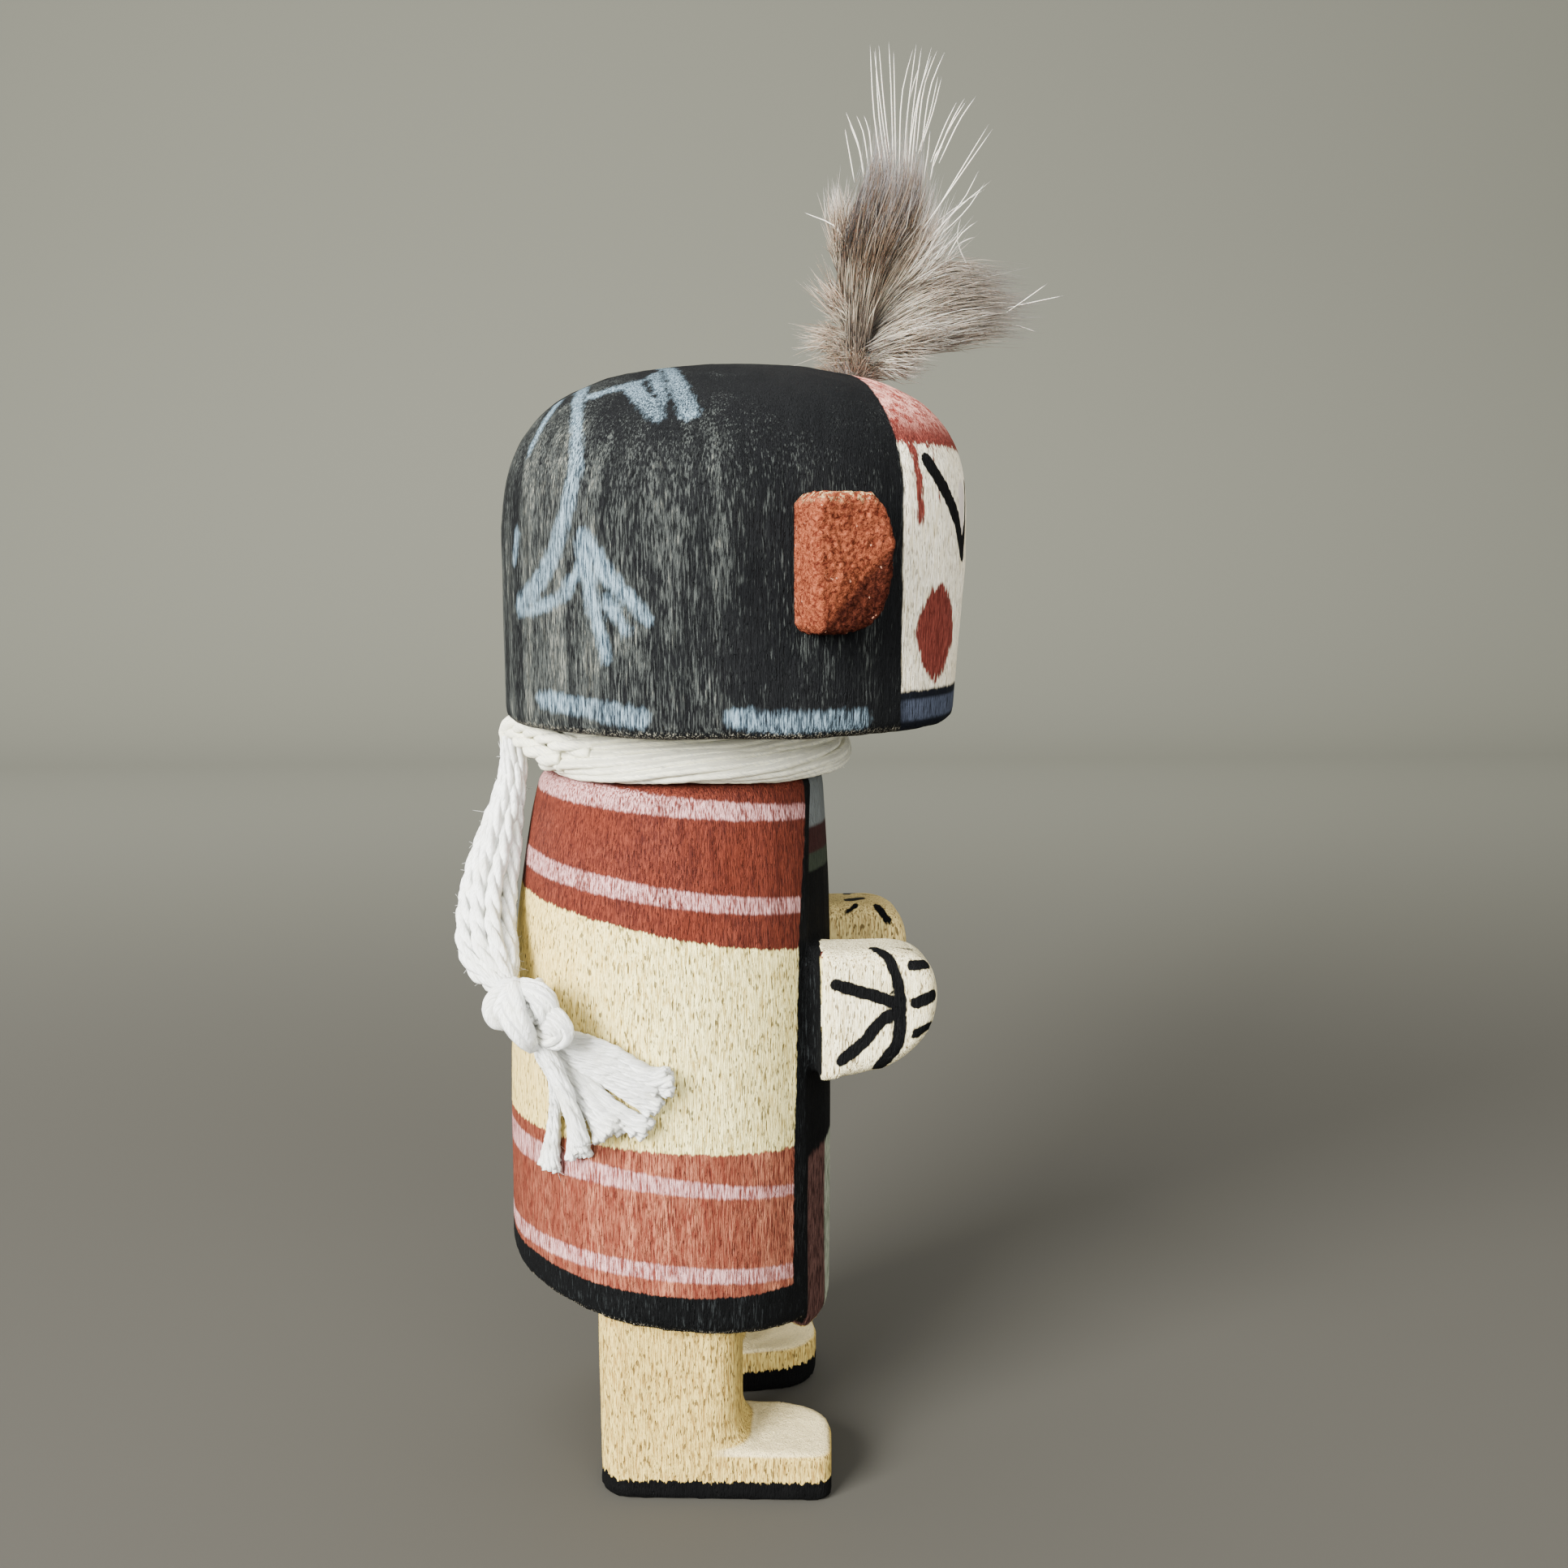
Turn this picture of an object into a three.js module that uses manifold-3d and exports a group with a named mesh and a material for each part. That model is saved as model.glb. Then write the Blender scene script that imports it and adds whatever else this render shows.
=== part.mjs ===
import * as THREE from 'three';
import { mergeVertices } from 'three/addons/utils/BufferGeometryUtils.js';
import Module from 'manifold-3d';

const wasm = await Module();
wasm.setup();

// Carved and painted kachina doll in millimetres. It faces +X and its soles lie on z = 0.
// Every x below counts from the axis of the robe; the finished group is centred on its footprint.

// Gap left between pieces that touch
const gap = 0.3;

// Head: an upright drum with a domed top, a little farther forward than the robe
const headTop = 88.4;
const headBottom = 61.3;
const headRadius = 18.3;
const headX = 5.35;
const domeFront = 12;
const domeBack = 15;
const domePower = 3;
const chinRecess = 0.9;
const chinHeight = 12;
const rimRound = 0.9;

// Neck and the yarn wound round it
const neckRadius = 9.8;
const neckX = 1.9;
const wrapRadius = 12.8;
const wrapBottom = 57.5;

// Robe: a wrapped cape over a dress, narrower at the shoulders
const robeRadius = 13.4;
const robeTop = 57.2;
const shoulderNarrowing = 1.9;
const shoulderForward = 1.2;
const hemHeight = 15.1;
const hemSlope = 0.165;
const capeThickness = 0.3;
const capeEdgeAngle = 38;
const dressHem = 12;

// Legs and feet, the same on both sides
const legBack = -5.9;
const legFront = 5.4;
const innerSide = 3.5;
const outerSide = 11.3;
const toeFront = 12.7;
const footSplay = 5;
const footHeight = 4.2;
const edgeRound = 0.5;

// Hands: mitts that come out at the front edges of the cape
const handSide = 8.3;
const handWidth = 6.2;
const handRoot = 11.2;
const wristWidth = 3.2;
const handTop = 44.2;
const handBottom = 33.4;
const handTip = 20.6;
const handRound = 1.4;

// Ears: blocks glued to the sides of the head, measured round its axis from the face
const earAngle = 69;
const earMiddle = 73.5;
const earWidth = 6.2;
const earHeight = 9.5;
const earThickness = 3.2;

// Tuft of fur at the front of the crown
const tuftX = 14.8;
const tuftTop = 112.7;
const tuftLean = 4.4;
const lobeReach = 29.8;
const lobeTipHeight = 94.4;

// Yarn tail that hangs from the nape, its knot and its tassel; the route runs on through the knot
const tailDiameter = 4;
const knotAt = new THREE.Vector3(-10.6, -12.1, 40.4);
const tasselRoot = new THREE.Vector3(-8.9, -13.1, 37.4);
const tailRoute = [
  [-12.5, -1.1, 57.1], [-12.8, -1.6, 55.3], [-13.2, -2.2, 53.5], [-13.6, -3.0, 51.7],
  [-14.0, -3.9, 49.8], [-14.3, -5.0, 48.0], [-14.3, -6.2, 46.2], [-14.1, -7.4, 44.6],
  [-13.5, -8.6, 43.2], [-12.6, -10.0, 42.0], [-11.6, -11.3, 41.1], [-10.7, -12.2, 40.2],
  [-9.8, -12.8, 38.9], [-9.0, -13.2, 37.4], [-8.2, -13.5, 35.6], [-7.6, -13.7, 34.0],
  [-7.0, -13.9, 32.2], [-6.6, -14.0, 30.8],
];
const knotPoint = 11;
const tasselEnds = [
  [-9.3, -12.6, 28.6], [-6.6, -13.9, 29.2], [-4.2, -14.6, 31.2], [-1.5, -15.0, 31.8], [-0.3, -15.1, 35.4],
];

const radians = THREE.MathUtils.degToRad;

// A closed three.js geometry as a solid for joining and cutting
function solid(geometry) {
  const bare = geometry.clone();
  bare.deleteAttribute('normal');
  bare.deleteAttribute('uv');
  const merged = mergeVertices(bare, 1e-4);
  const index = merged.index.array;
  const corners = [];
  for (let i = 0; i < index.length; i += 3) {
    const [a, b, c] = [index[i], index[i + 1], index[i + 2]];
    if (a !== b && b !== c && a !== c) corners.push(a, b, c);
  }
  return new wasm.Manifold(new wasm.Mesh({
    numProp: 3,
    vertProperties: new Float32Array(merged.attributes.position.array),
    triVerts: new Uint32Array(corners),
  }));
}

function geometryOf(body) {
  const mesh = body.getMesh();
  const geometry = new THREE.BufferGeometry();
  geometry.setAttribute('position', new THREE.BufferAttribute(mesh.vertProperties, 3));
  geometry.setIndex(new THREE.BufferAttribute(mesh.triVerts, 1));
  geometry.computeVertexNormals();
  return geometry;
}

// Moves every vertex of a geometry by a function of its place
function warp(geometry, move) {
  const position = geometry.attributes.position;
  const point = new THREE.Vector3();
  for (let i = 0; i < position.count; i++) {
    point.fromBufferAttribute(position, i);
    move(point);
    position.setXYZ(i, point.x, point.y, point.z);
  }
  return geometry;
}

// Turned form about the vertical axis, from [radius, height] pairs
function turned(pairs, segments) {
  const profile = pairs.map(([radius, height]) => new THREE.Vector2(radius, height));
  return new THREE.LatheGeometry(profile, segments).rotateX(Math.PI / 2);
}

// Rectangle with a radius of its own at each corner, starting at the low corner
function roundedRectangle(x0, y0, x1, y1, radii) {
  const [a, b, c, d] = radii;
  const quarter = Math.PI / 2;
  const shape = new THREE.Shape();
  shape.moveTo(x0 + a, y0);
  shape.absarc(x1 - b, y0 + b, b, -quarter, 0);
  shape.absarc(x1 - c, y1 - c, c, 0, quarter);
  shape.absarc(x0 + d, y1 - d, d, quarter, 2 * quarter);
  shape.absarc(x0 + a, y0 + a, a, 2 * quarter, 3 * quarter);
  return shape;
}

// Plate of the given depth whose edges are rounded inside its outline
function roundedPlate(shape, depth, round, curveSegments = 5) {
  return new THREE.ExtrudeGeometry(shape, {
    depth: depth - 2 * round,
    curveSegments,
    bevelSize: round,
    bevelThickness: round,
    bevelOffset: -round,
    bevelSegments: 3,
  }).translate(0, 0, round);
}

// Head drum: superelliptic dome, lower at the front, over a wall that draws back at the chin
function headForm(grow = 0) {
  const radius = headRadius + grow;
  const shoulder = headTop - domeFront;
  const pairs = [[0, headBottom - grow]];
  for (let i = 0; i <= 3; i++) {
    const angle = radians(30 * i);
    const inset = rimRound * (1 - Math.sin(angle));
    pairs.push([radius - inset, headBottom - grow + rimRound * (1 - Math.cos(angle))]);
  }
  pairs.push([radius, headBottom + chinHeight]);
  for (let i = 0; i < 12; i++) {
    const angle = radians(7.5 * i);
    const across = Math.cos(angle) ** (2 / domePower);
    const up = Math.sin(angle) ** (2 / domePower);
    pairs.push([radius * across, shoulder + (domeFront + grow) * up]);
  }
  pairs.push([0, headTop + grow]);
  return warp(turned(pairs, 60), (point) => {
    const reach = Math.hypot(point.x, point.y);
    const facing = reach > 0 ? point.x / reach : 0;
    const top = headTop + grow;
    if (point.z > shoulder) {
      const stretch = THREE.MathUtils.lerp(domeBack, domeFront, (1 + facing) / 2) / domeFront;
      point.z = top - (top - point.z) * stretch;
    }
    const below = Math.max(0, headBottom + chinHeight - point.z) / chinHeight;
    point.x -= chinRecess * below * Math.max(0, facing) * (reach / radius);
    point.x += headX;
  });
}

// Robe radius and forward shift at a height
function robeAt(height) {
  const rise = THREE.MathUtils.clamp((height - hemHeight) / (robeTop - hemHeight), 0, 1);
  return { radius: robeRadius - shoulderNarrowing * rise ** 4, shift: shoulderForward * rise ** 3 };
}

function robeForm(grow) {
  const foot = 6;
  const pairs = [[0, foot]];
  const steps = 11;
  for (let i = 0; i <= steps; i++) {
    const height = foot + (robeTop - 0.5 - foot) * Math.sin((i / steps) * Math.PI / 2);
    pairs.push([robeAt(height).radius + grow, height]);
  }
  pairs.push([robeAt(robeTop).radius + grow - 0.5, robeTop + Math.max(0, grow)]);
  pairs.push([0, robeTop + Math.max(0, grow)]);
  return warp(turned(pairs, 60), (point) => {
    point.x += robeAt(point.z).shift;
  });
}

// Everything below the hem, which runs lower towards the front
function belowHem() {
  const block = new THREE.BoxGeometry(80, 80, 30).translate(0, 0, -15);
  return solid(block.rotateY(Math.atan(hemSlope)).translate(0, 0, hemHeight));
}

// Upright wedge over the part of the dress that the open cape leaves bare
function frontWedge() {
  const angle = radians(capeEdgeAngle);
  const wedge = new THREE.Shape();
  wedge.moveTo(0, 0);
  wedge.lineTo(40 * Math.cos(angle), -40 * Math.sin(angle));
  wedge.lineTo(40 * Math.cos(angle), 40 * Math.sin(angle));
  return solid(new THREE.ExtrudeGeometry(wedge, { depth: 60, bevelEnabled: false }).translate(0, 0, dressHem));
}

function robeSolid() {
  const hem = belowHem();
  const wedge = frontWedge();
  const cape = solid(robeForm(0)).subtract(hem).subtract(wedge);
  const dress = solid(robeForm(-capeThickness));
  return cape.add(dress.subtract(hem)).add(dress.intersect(wedge));
}

// One leg with its foot; side is -1 for the right one and 1 for the left one
function legSolid(side) {
  const low = side < 0 ? -outerSide : innerSide;
  const high = side < 0 ? -innerSide : outerSide;
  const toeRadii = side < 0 ? [1.3, 3.8] : [3.8, 1.3];
  const heelRadii = side < 0 ? [2.6, 1.8] : [1.8, 2.6];
  const sole = roundedRectangle(legBack, low, toeFront, high, [heelRadii[0], ...toeRadii, heelRadii[1]]);
  const shaft = roundedRectangle(legBack, low, legFront, high, [2.6, 2.6, 2.6, 2.6]);
  const foot = roundedPlate(sole, footHeight, edgeRound);
  const leg = new THREE.ExtrudeGeometry(shaft, { depth: 16, bevelEnabled: false, curveSegments: 5 });
  const middle = side * (innerSide + outerSide) / 2;
  const splay = radians(side * footSplay);
  const turn = (geometry) => geometry.translate(0, -middle, 0).rotateZ(splay).translate(0, middle, 0);
  return solid(turn(foot)).add(solid(turn(leg.translate(0, 0, 1.5))));
}

// Mitt-like hand: its side outline is extruded across and rounded, and a narrower wrist joins it to the robe
function handSolid(side) {
  const outline = new THREE.Shape();
  outline.moveTo(handRoot, handTop);
  outline.lineTo(17.2, handTop);
  outline.bezierCurveTo(19.6, handTop, handTip, 42.8, handTip, 40.4);
  outline.bezierCurveTo(handTip, 37.8, 18.8, 35.6, 16.4, handBottom + 1.2);
  outline.lineTo(handRoot, handBottom);
  const mitt = roundedPlate(outline, handWidth, handRound, 7);
  const wristTall = handTop - handBottom - 2.4;
  const wrist = new THREE.BoxGeometry(6, wristWidth, wristTall);
  const middle = (handTop + handBottom) / 2;
  return solid(mitt.rotateX(Math.PI / 2).translate(0, side * handSide + handWidth / 2, 0))
    .add(solid(wrist.translate(handRoot, side * (handSide - 1.4), middle)));
}

function figureSolid() {
  const neckPairs = [[0, 56], [neckRadius, 56], [neckRadius, 62.5], [0, 62.5]];
  let figure = robeSolid()
    .add(solid(turned(neckPairs, 40).translate(neckX, 0, 0)))
    .add(solid(headForm()));
  for (const side of [-1, 1]) {
    figure = figure.add(legSolid(side)).add(handSolid(side));
  }
  return figure;
}

// Ear block: straight towards the back of the head and bowed towards the face
function earSolid(side) {
  const half = earWidth / 2;
  const tall = earHeight / 2;
  const outline = [
    [-half, tall - 0.7], [-half + 0.7, tall], [0.4 * half, tall], [0.75 * half, 0.75 * tall],
    [0.97 * half, 0.3 * tall], [half, -0.35 * tall], [0.85 * half, -0.7 * tall], [0.5 * half, -0.9 * tall],
    [-0.1 * half, -tall], [-half + 0.5, -tall], [-half, -tall + 0.6],
  ].map(([across, up]) => new THREE.Vector2(-side * across, up));
  const shape = new THREE.Shape(outline);
  const inside = 3;
  const block = roundedPlate(shape, earThickness + inside, 0.8, 2);
  const angle = radians(earAngle);
  const outward = new THREE.Vector3(Math.cos(angle), side * Math.sin(angle), 0);
  const upward = new THREE.Vector3(0, 0, 1);
  const across = new THREE.Vector3().crossVectors(upward, outward);
  const place = new THREE.Matrix4().makeBasis(across, upward, outward);
  place.setPosition(headX + outward.x * (headRadius - inside), outward.y * (headRadius - inside), earMiddle);
  return solid(block.applyMatrix4(place)).subtract(solid(headForm(gap)));
}

// Lobe of fur: a spindle of locks along a bent line
function furLobe(length, radii, locks, bend) {
  const pairs = [[0, 0]];
  radii.forEach((radius, i) => pairs.push([radius, (length * (i + 0.25)) / radii.length]));
  pairs.push([0, length]);
  return warp(turned(pairs, 21), (point) => {
    const turn = Math.atan2(point.y, point.x);
    const swell = 1 + 0.12 * Math.cos(locks * turn + point.z * 0.25);
    const along = point.z / length;
    point.x = point.x * swell + bend * along * along;
    point.y *= swell;
  });
}

function tuftSolid() {
  const rootHeight = 86;
  const upright = furLobe(tuftTop - rootHeight, [2.4, 3.3, 4.0, 4.2, 3.9, 3.3, 2.5, 1.6, 0.8], 7, tuftLean);
  const root = new THREE.Vector3(tuftX + 1, 0, 90.2);
  const reach = new THREE.Vector3(lobeReach, 0, lobeTipHeight).sub(root);
  const forward = furLobe(reach.length(), [2.6, 3.6, 3.8, 3.5, 2.9, 2.0], 5, 0);
  const slope = Math.atan2(reach.x, reach.z);
  return solid(upright.translate(tuftX, 0, rootHeight))
    .add(solid(forward.rotateY(slope).translate(...root.toArray())))
    .subtract(solid(headForm(gap)));
}

function wrapGeometry() {
  const middle = (wrapBottom + headBottom - gap) / 2;
  const tall = (headBottom - gap - wrapBottom) / 2;
  const inner = neckRadius + gap;
  const bulge = 1.1;
  return turned([
    [inner, middle + tall - 0.5], [inner, middle - tall + 0.5], [inner + 0.5, middle - tall],
    [wrapRadius - bulge, middle - tall], [wrapRadius - 0.3, middle - 0.6 * tall], [wrapRadius, middle],
    [wrapRadius - 0.3, middle + 0.6 * tall], [wrapRadius - bulge, middle + tall],
    [inner + 0.5, middle + tall], [inner, middle + tall - 0.5],
  ], 36).translate(neckX, 0, 0);
}

// Knot: a ball with three soft lobes, flatter against the robe
function knotGeometry(grow) {
  const ball = new THREE.SphereGeometry(1, 16, 12);
  const outward = Math.atan2(knotAt.y, knotAt.x);
  return warp(ball, (point) => {
    const swell = 1 + 0.08 * Math.cos(3 * Math.atan2(point.z, point.y) + 0.5);
    point.set(point.x * (2.2 + grow), point.y * swell * (2.7 + grow), point.z * swell * (2.4 + grow));
  }).rotateZ(outward).translate(knotAt.x, knotAt.y, knotAt.z);
}

function tailSolid() {
  const points = tailRoute.slice(0, knotPoint).map((point) => new THREE.Vector3(...point));
  const route = new THREE.CatmullRomCurve3(points);
  const section = new THREE.Shape();
  for (let i = 0; i < 8; i++) {
    const angle = (i / 8) * 2 * Math.PI;
    const corner = [Math.cos(angle) * tailDiameter / 2, Math.sin(angle) * tailDiameter / 2];
    if (i === 0) section.moveTo(...corner);
    else section.lineTo(...corner);
  }
  const tube = new THREE.ExtrudeGeometry(section, { steps: 14, extrudePath: route });
  return solid(tube).subtract(solid(knotGeometry(gap))).subtract(solid(robeForm(gap)));
}

// Tassel: cut yarn ends that fan out from below the knot
function tasselSolid() {
  let tassel = solid(new THREE.SphereGeometry(1.6, 12, 8).translate(...tasselRoot.toArray()));
  for (const end of tasselEnds) {
    const tip = new THREE.Vector3(...end);
    const along = tip.clone().sub(tasselRoot);
    const strand = new THREE.CylinderGeometry(1.25, 0.8, along.length(), 10);
    const turn = new THREE.Quaternion().setFromUnitVectors(new THREE.Vector3(0, 1, 0), along.clone().normalize());
    const middle = tasselRoot.clone().add(tip).multiplyScalar(0.5);
    tassel = tassel.add(solid(strand.applyQuaternion(turn).translate(...middle.toArray())));
  }
  return tassel.subtract(solid(knotGeometry(gap))).subtract(solid(robeForm(gap)));
}

const woodPaint = new THREE.MeshStandardMaterial({ color: 0xb9785a, roughness: 0.85, metalness: 0 });
const earPaint = new THREE.MeshStandardMaterial({ color: 0xa84f38, roughness: 0.95, metalness: 0 });
const fur = new THREE.MeshStandardMaterial({ color: 0x9c8c7a, roughness: 0.9, metalness: 0 });
const yarn = new THREE.MeshStandardMaterial({ color: 0xe6e5db, roughness: 0.95, metalness: 0 });

const doll = new THREE.Group();

function addPiece(name, geometry, material) {
  const piece = new THREE.Mesh(geometry, material);
  piece.name = name;
  doll.add(piece);
  return piece;
}

const ownPieces = [
  addPiece('carved_figure', geometryOf(figureSolid()), woodPaint),
  addPiece('ear_right', geometryOf(earSolid(-1)), earPaint),
  addPiece('ear_left', geometryOf(earSolid(1)), earPaint),
  addPiece('fur_tuft', geometryOf(tuftSolid()), fur),
  addPiece('yarn_neck_wrap', wrapGeometry(), yarn),
];
addPiece('yarn_tail', geometryOf(tailSolid()), yarn);
addPiece('yarn_knot', knotGeometry(0), yarn);
addPiece('yarn_tassel', geometryOf(tasselSolid()), yarn);

// The origin is the middle of the footprint of everything but the hanging yarn
const extent = new THREE.Box3();
ownPieces.forEach((piece) => extent.expandByObject(piece));
const middle = extent.getCenter(new THREE.Vector3());
doll.position.set(-middle.x, -middle.y, -extent.min.z);

export default doll;
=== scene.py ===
import bpy
import numpy as np
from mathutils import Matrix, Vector
from mathutils.bvhtree import BVHTree


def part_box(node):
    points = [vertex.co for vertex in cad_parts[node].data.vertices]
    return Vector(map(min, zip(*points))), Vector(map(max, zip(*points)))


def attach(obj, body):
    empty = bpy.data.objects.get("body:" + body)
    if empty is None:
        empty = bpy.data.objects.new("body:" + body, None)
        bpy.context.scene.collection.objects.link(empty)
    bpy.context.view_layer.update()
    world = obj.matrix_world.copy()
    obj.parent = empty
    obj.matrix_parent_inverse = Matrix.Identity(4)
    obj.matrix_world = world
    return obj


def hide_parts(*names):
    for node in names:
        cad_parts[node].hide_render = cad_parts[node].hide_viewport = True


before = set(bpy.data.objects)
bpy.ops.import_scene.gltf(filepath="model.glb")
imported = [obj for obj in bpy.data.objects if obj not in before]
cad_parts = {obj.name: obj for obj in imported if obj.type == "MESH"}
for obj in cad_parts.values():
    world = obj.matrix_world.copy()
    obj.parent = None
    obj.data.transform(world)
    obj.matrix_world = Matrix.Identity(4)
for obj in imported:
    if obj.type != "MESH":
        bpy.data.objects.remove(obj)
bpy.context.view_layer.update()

mm = 0.001
robeRadius = 13.4                               # mm, at the hem
neckX = 1.9                                     # mm, middle of the neck
deepen = 0.6                                    # of every colour, see tone()
# the robe's upright axis, where x starts in all values in mm
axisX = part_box("carved_figure")[0][0] + robeRadius * mm


photo = {
    "size": 1932,                               # pixels along each side
    "focal": 1860,                              # pixels
    "eye": (1.825, -122.0, 73.19),              # mm from the foot of the robe's axis
    "forward": (0.06043, 0.98808, -0.14159),
}


# mm from the robe's axis into metres of the frame: times 0.001, then moved along x
def toFrame(points):
    return np.asarray(points, float) * mm + (axisX, 0, 0)


def linked(name, data):
    thing = bpy.data.objects.new(name, data)
    bpy.context.scene.collection.objects.link(thing)
    return thing


def makeCamera():
    lens = bpy.data.cameras.new("photoCamera")
    lens.sensor_width = 36
    lens.lens = lens.sensor_width * photo["focal"] / photo["size"]
    lens.clip_start, lens.clip_end = 0.001, 20
    camera = linked("photoCamera", lens)
    camera.location = toFrame(photo["eye"])
    camera.rotation_euler = Vector(photo["forward"]).to_track_quat("-Z", "Y").to_euler()
    bpy.context.scene.camera = camera


makeCamera()
print("camera placed")


def unit(vectors):
    return vectors / np.maximum(np.linalg.norm(vectors, axis=-1, keepdims=True), 1e-9)


# Triangles of a closed form of rows x sides ring points, then a bottom and a top point that close it
def ringFaces(rows, sides):
    i, j = np.meshgrid(np.arange(rows - 1), np.arange(sides), indexing="ij")
    a, b = i * sides + j, i * sides + (j + 1) % sides
    wall = np.stack([a, b, b + sides, a, b + sides, a + sides], -1).reshape(-1, 3)
    j = np.arange(sides)
    last = (rows - 1) * sides
    bottom = np.stack([np.full(sides, rows * sides), (j + 1) % sides, j], -1)
    top = np.stack([np.full(sides, rows * sides + 1), last + j, last + (j + 1) % sides], -1)
    return np.concatenate([wall, bottom, top])


# Closed form through rings that run anticlockwise about its axis; each end is a fan to the ring's middle
def shell(rings):
    rows, sides = rings.shape[:2]
    ends = np.stack([rings[0].mean(0), rings[-1].mean(0)])
    return np.concatenate([rings.reshape(-1, 3), ends]), ringFaces(rows, sides)


def joined(shells):
    points, faces, start = [], [], 0
    for shellPoints, shellFaces in shells:
        points.append(shellPoints)
        faces.append(shellFaces + start)
        start += len(shellPoints)
    return np.concatenate(points), np.concatenate(faces)


# Joins parts that each have points, faces and a dictionary of values
def merged(parts):
    points, faces = joined([part[:2] for part in parts])
    return points, faces, {key: np.concatenate([part[2][key] for part in parts]) for key in parts[0][2]}


# Length run along each line, and the plane square to it carried along without twist: normal and side
def carried(lines):
    reach = np.cumsum(np.linalg.norm(np.diff(lines, axis=1, prepend=lines[:, :1]), axis=-1), axis=1)
    along = unit(np.gradient(lines, axis=1))
    first = np.where(np.abs(along[:, 0, 2:]) > 0.8, (1.0, 0.0, 0.0), (0.0, 0.0, 1.0))
    normal = np.empty_like(lines)
    normal[:, 0] = unit(np.cross(along[:, 0], first))
    for i in range(1, lines.shape[1]):
        flat = (normal[:, i - 1] * along[:, i]).sum(-1, keepdims=True)
        normal[:, i] = unit(normal[:, i - 1] - flat * along[:, i])
    return reach, normal, np.cross(along, normal)


# Tubes round many lines at once. On each point of a line lies a ring, radius x (cos, sin) of the side
# angle, in the plane square to the line. Ends close in a fan, and a pointed tube closes on the line's
# last point. Each point gets its share of the line, its side angle and the number of its line.
def tubes(lines, radii, sides, pointed=False):
    tips = lines[:, -1:]
    radii = np.broadcast_to(np.asarray(radii, float), lines.shape[:2])
    if pointed:
        lines, radii = lines[:, :-1], radii[:, :-1]
    count, steps = lines.shape[:2]
    normal, side = carried(lines)[1:]
    angle = np.linspace(0, 2 * np.pi, sides, endpoint=False)
    rings = lines[:, :, None] + radii[..., None, None] * (
        np.cos(angle)[:, None] * normal[:, :, None] + np.sin(angle)[:, None] * side[:, :, None])
    size = steps * sides + 2
    points = np.concatenate([rings.reshape(count, -1, 3), lines[:, :1], tips], 1).reshape(-1, 3)
    faces = (ringFaces(steps, sides)[None] + (np.arange(count) * size)[:, None, None]).reshape(-1, 3)
    stepShare = np.repeat(np.linspace(0, 1, steps), sides)
    share = np.tile(np.concatenate([stepShare, [0, 1]]), count)
    turn = np.tile(np.concatenate([np.tile(angle, steps), [0, 0]]), count)
    return points, faces, share, turn, np.repeat(np.arange(count), size)


# Smooth noise from -1 to 1: random values on a lattice of that cell size, blended by smooth steps
def softNoise(points, size, seed):
    table = np.random.default_rng(seed).uniform(-1, 1, 8192)
    spot = points / size + 500
    cell = np.floor(spot).astype(np.int64)
    part = spot - cell
    part = part * part * (3 - 2 * part)
    total = np.zeros(len(points))
    for corner in np.ndindex(2, 2, 2):
        index = (cell + corner) * (73856093, 19349663, 83492791)
        weight = np.prod(np.where(np.array(corner) == 1, part, 1 - part), axis=1)
        total += weight * table[(index[:, 0] ^ index[:, 1] ^ index[:, 2]) % 8192]
    return total


def smoothStep(value, low, high):
    part = np.clip((value - low) / (high - low), 0, 1)
    return part * part * (3 - 2 * part)


# Evenly spaced points on a smooth curve (Catmull-Rom) through the given ones
def resampled(line, steps):
    line = np.asarray(line, float)
    padded = np.concatenate([2 * line[:1] - line[1:2], line, 2 * line[-1:] - line[-2:-1]])
    t = np.linspace(0, 1, 12, endpoint=False)[:, None]
    fine = []
    for a, b, c, d in zip(padded, padded[1:], padded[2:], padded[3:]):
        fine.append(0.5 * (2 * b + (c - a) * t + (2 * a - 5 * b + 4 * c - d) * t ** 2
                           + (3 * b - a - 3 * c + d) * t ** 3))
    fine = np.concatenate(fine + [line[-1:]])
    reach = np.concatenate([[0], np.cumsum(np.linalg.norm(np.diff(fine, axis=0), axis=1))])
    even = np.linspace(0, reach[-1], steps)
    return np.stack([np.interp(even, reach, fine[:, k]) for k in range(line.shape[1])], -1)


# Smooth shading, one number a point for each named value, and the finish
def finished(name, mesh, material, values):
    mesh.polygons.foreach_set("use_smooth", np.ones(len(mesh.polygons), bool))
    for value, numbers in values.items():
        layer = mesh.attributes.new(value, "FLOAT", "POINT")
        layer.data.foreach_set("value", np.asarray(numbers, np.float32))
    mesh.materials.append(material)
    return linked(name, mesh)


# Mesh object from mm points and triangles
def makePiece(name, points, faces, material, values={}):
    mesh = bpy.data.meshes.new(name)
    mesh.vertices.add(len(points))
    mesh.vertices.foreach_set("co", toFrame(points).ravel())
    mesh.loops.add(faces.size)
    mesh.loops.foreach_set("vertex_index", faces.ravel().astype(np.int32))
    mesh.polygons.add(len(faces))
    mesh.polygons.foreach_set("loop_start", np.arange(0, faces.size, 3, dtype=np.int32))
    mesh.update(calc_edges=True)
    return finished(name, mesh, material, values)


def standFor(piece, node):
    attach(piece, "root")
    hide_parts(node)
    print(piece.name, "has", sum(len(p.vertices) - 2 for p in piece.data.polygons), "triangles")


# Screen colour 0-255 as the linear colour that nodes take, darkened by a power of its brightness
# that makes up for the flat contrast of the render's view
def tone(red, green, blue):
    value = np.array([red, green, blue]) / 255
    linear = np.where(value > 0.04045, ((value + 0.055) / 1.055) ** 2.4, value / 12.92)
    return tuple(linear * (linear @ (0.21, 0.72, 0.07)) ** deepen) + (1.0,)


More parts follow.
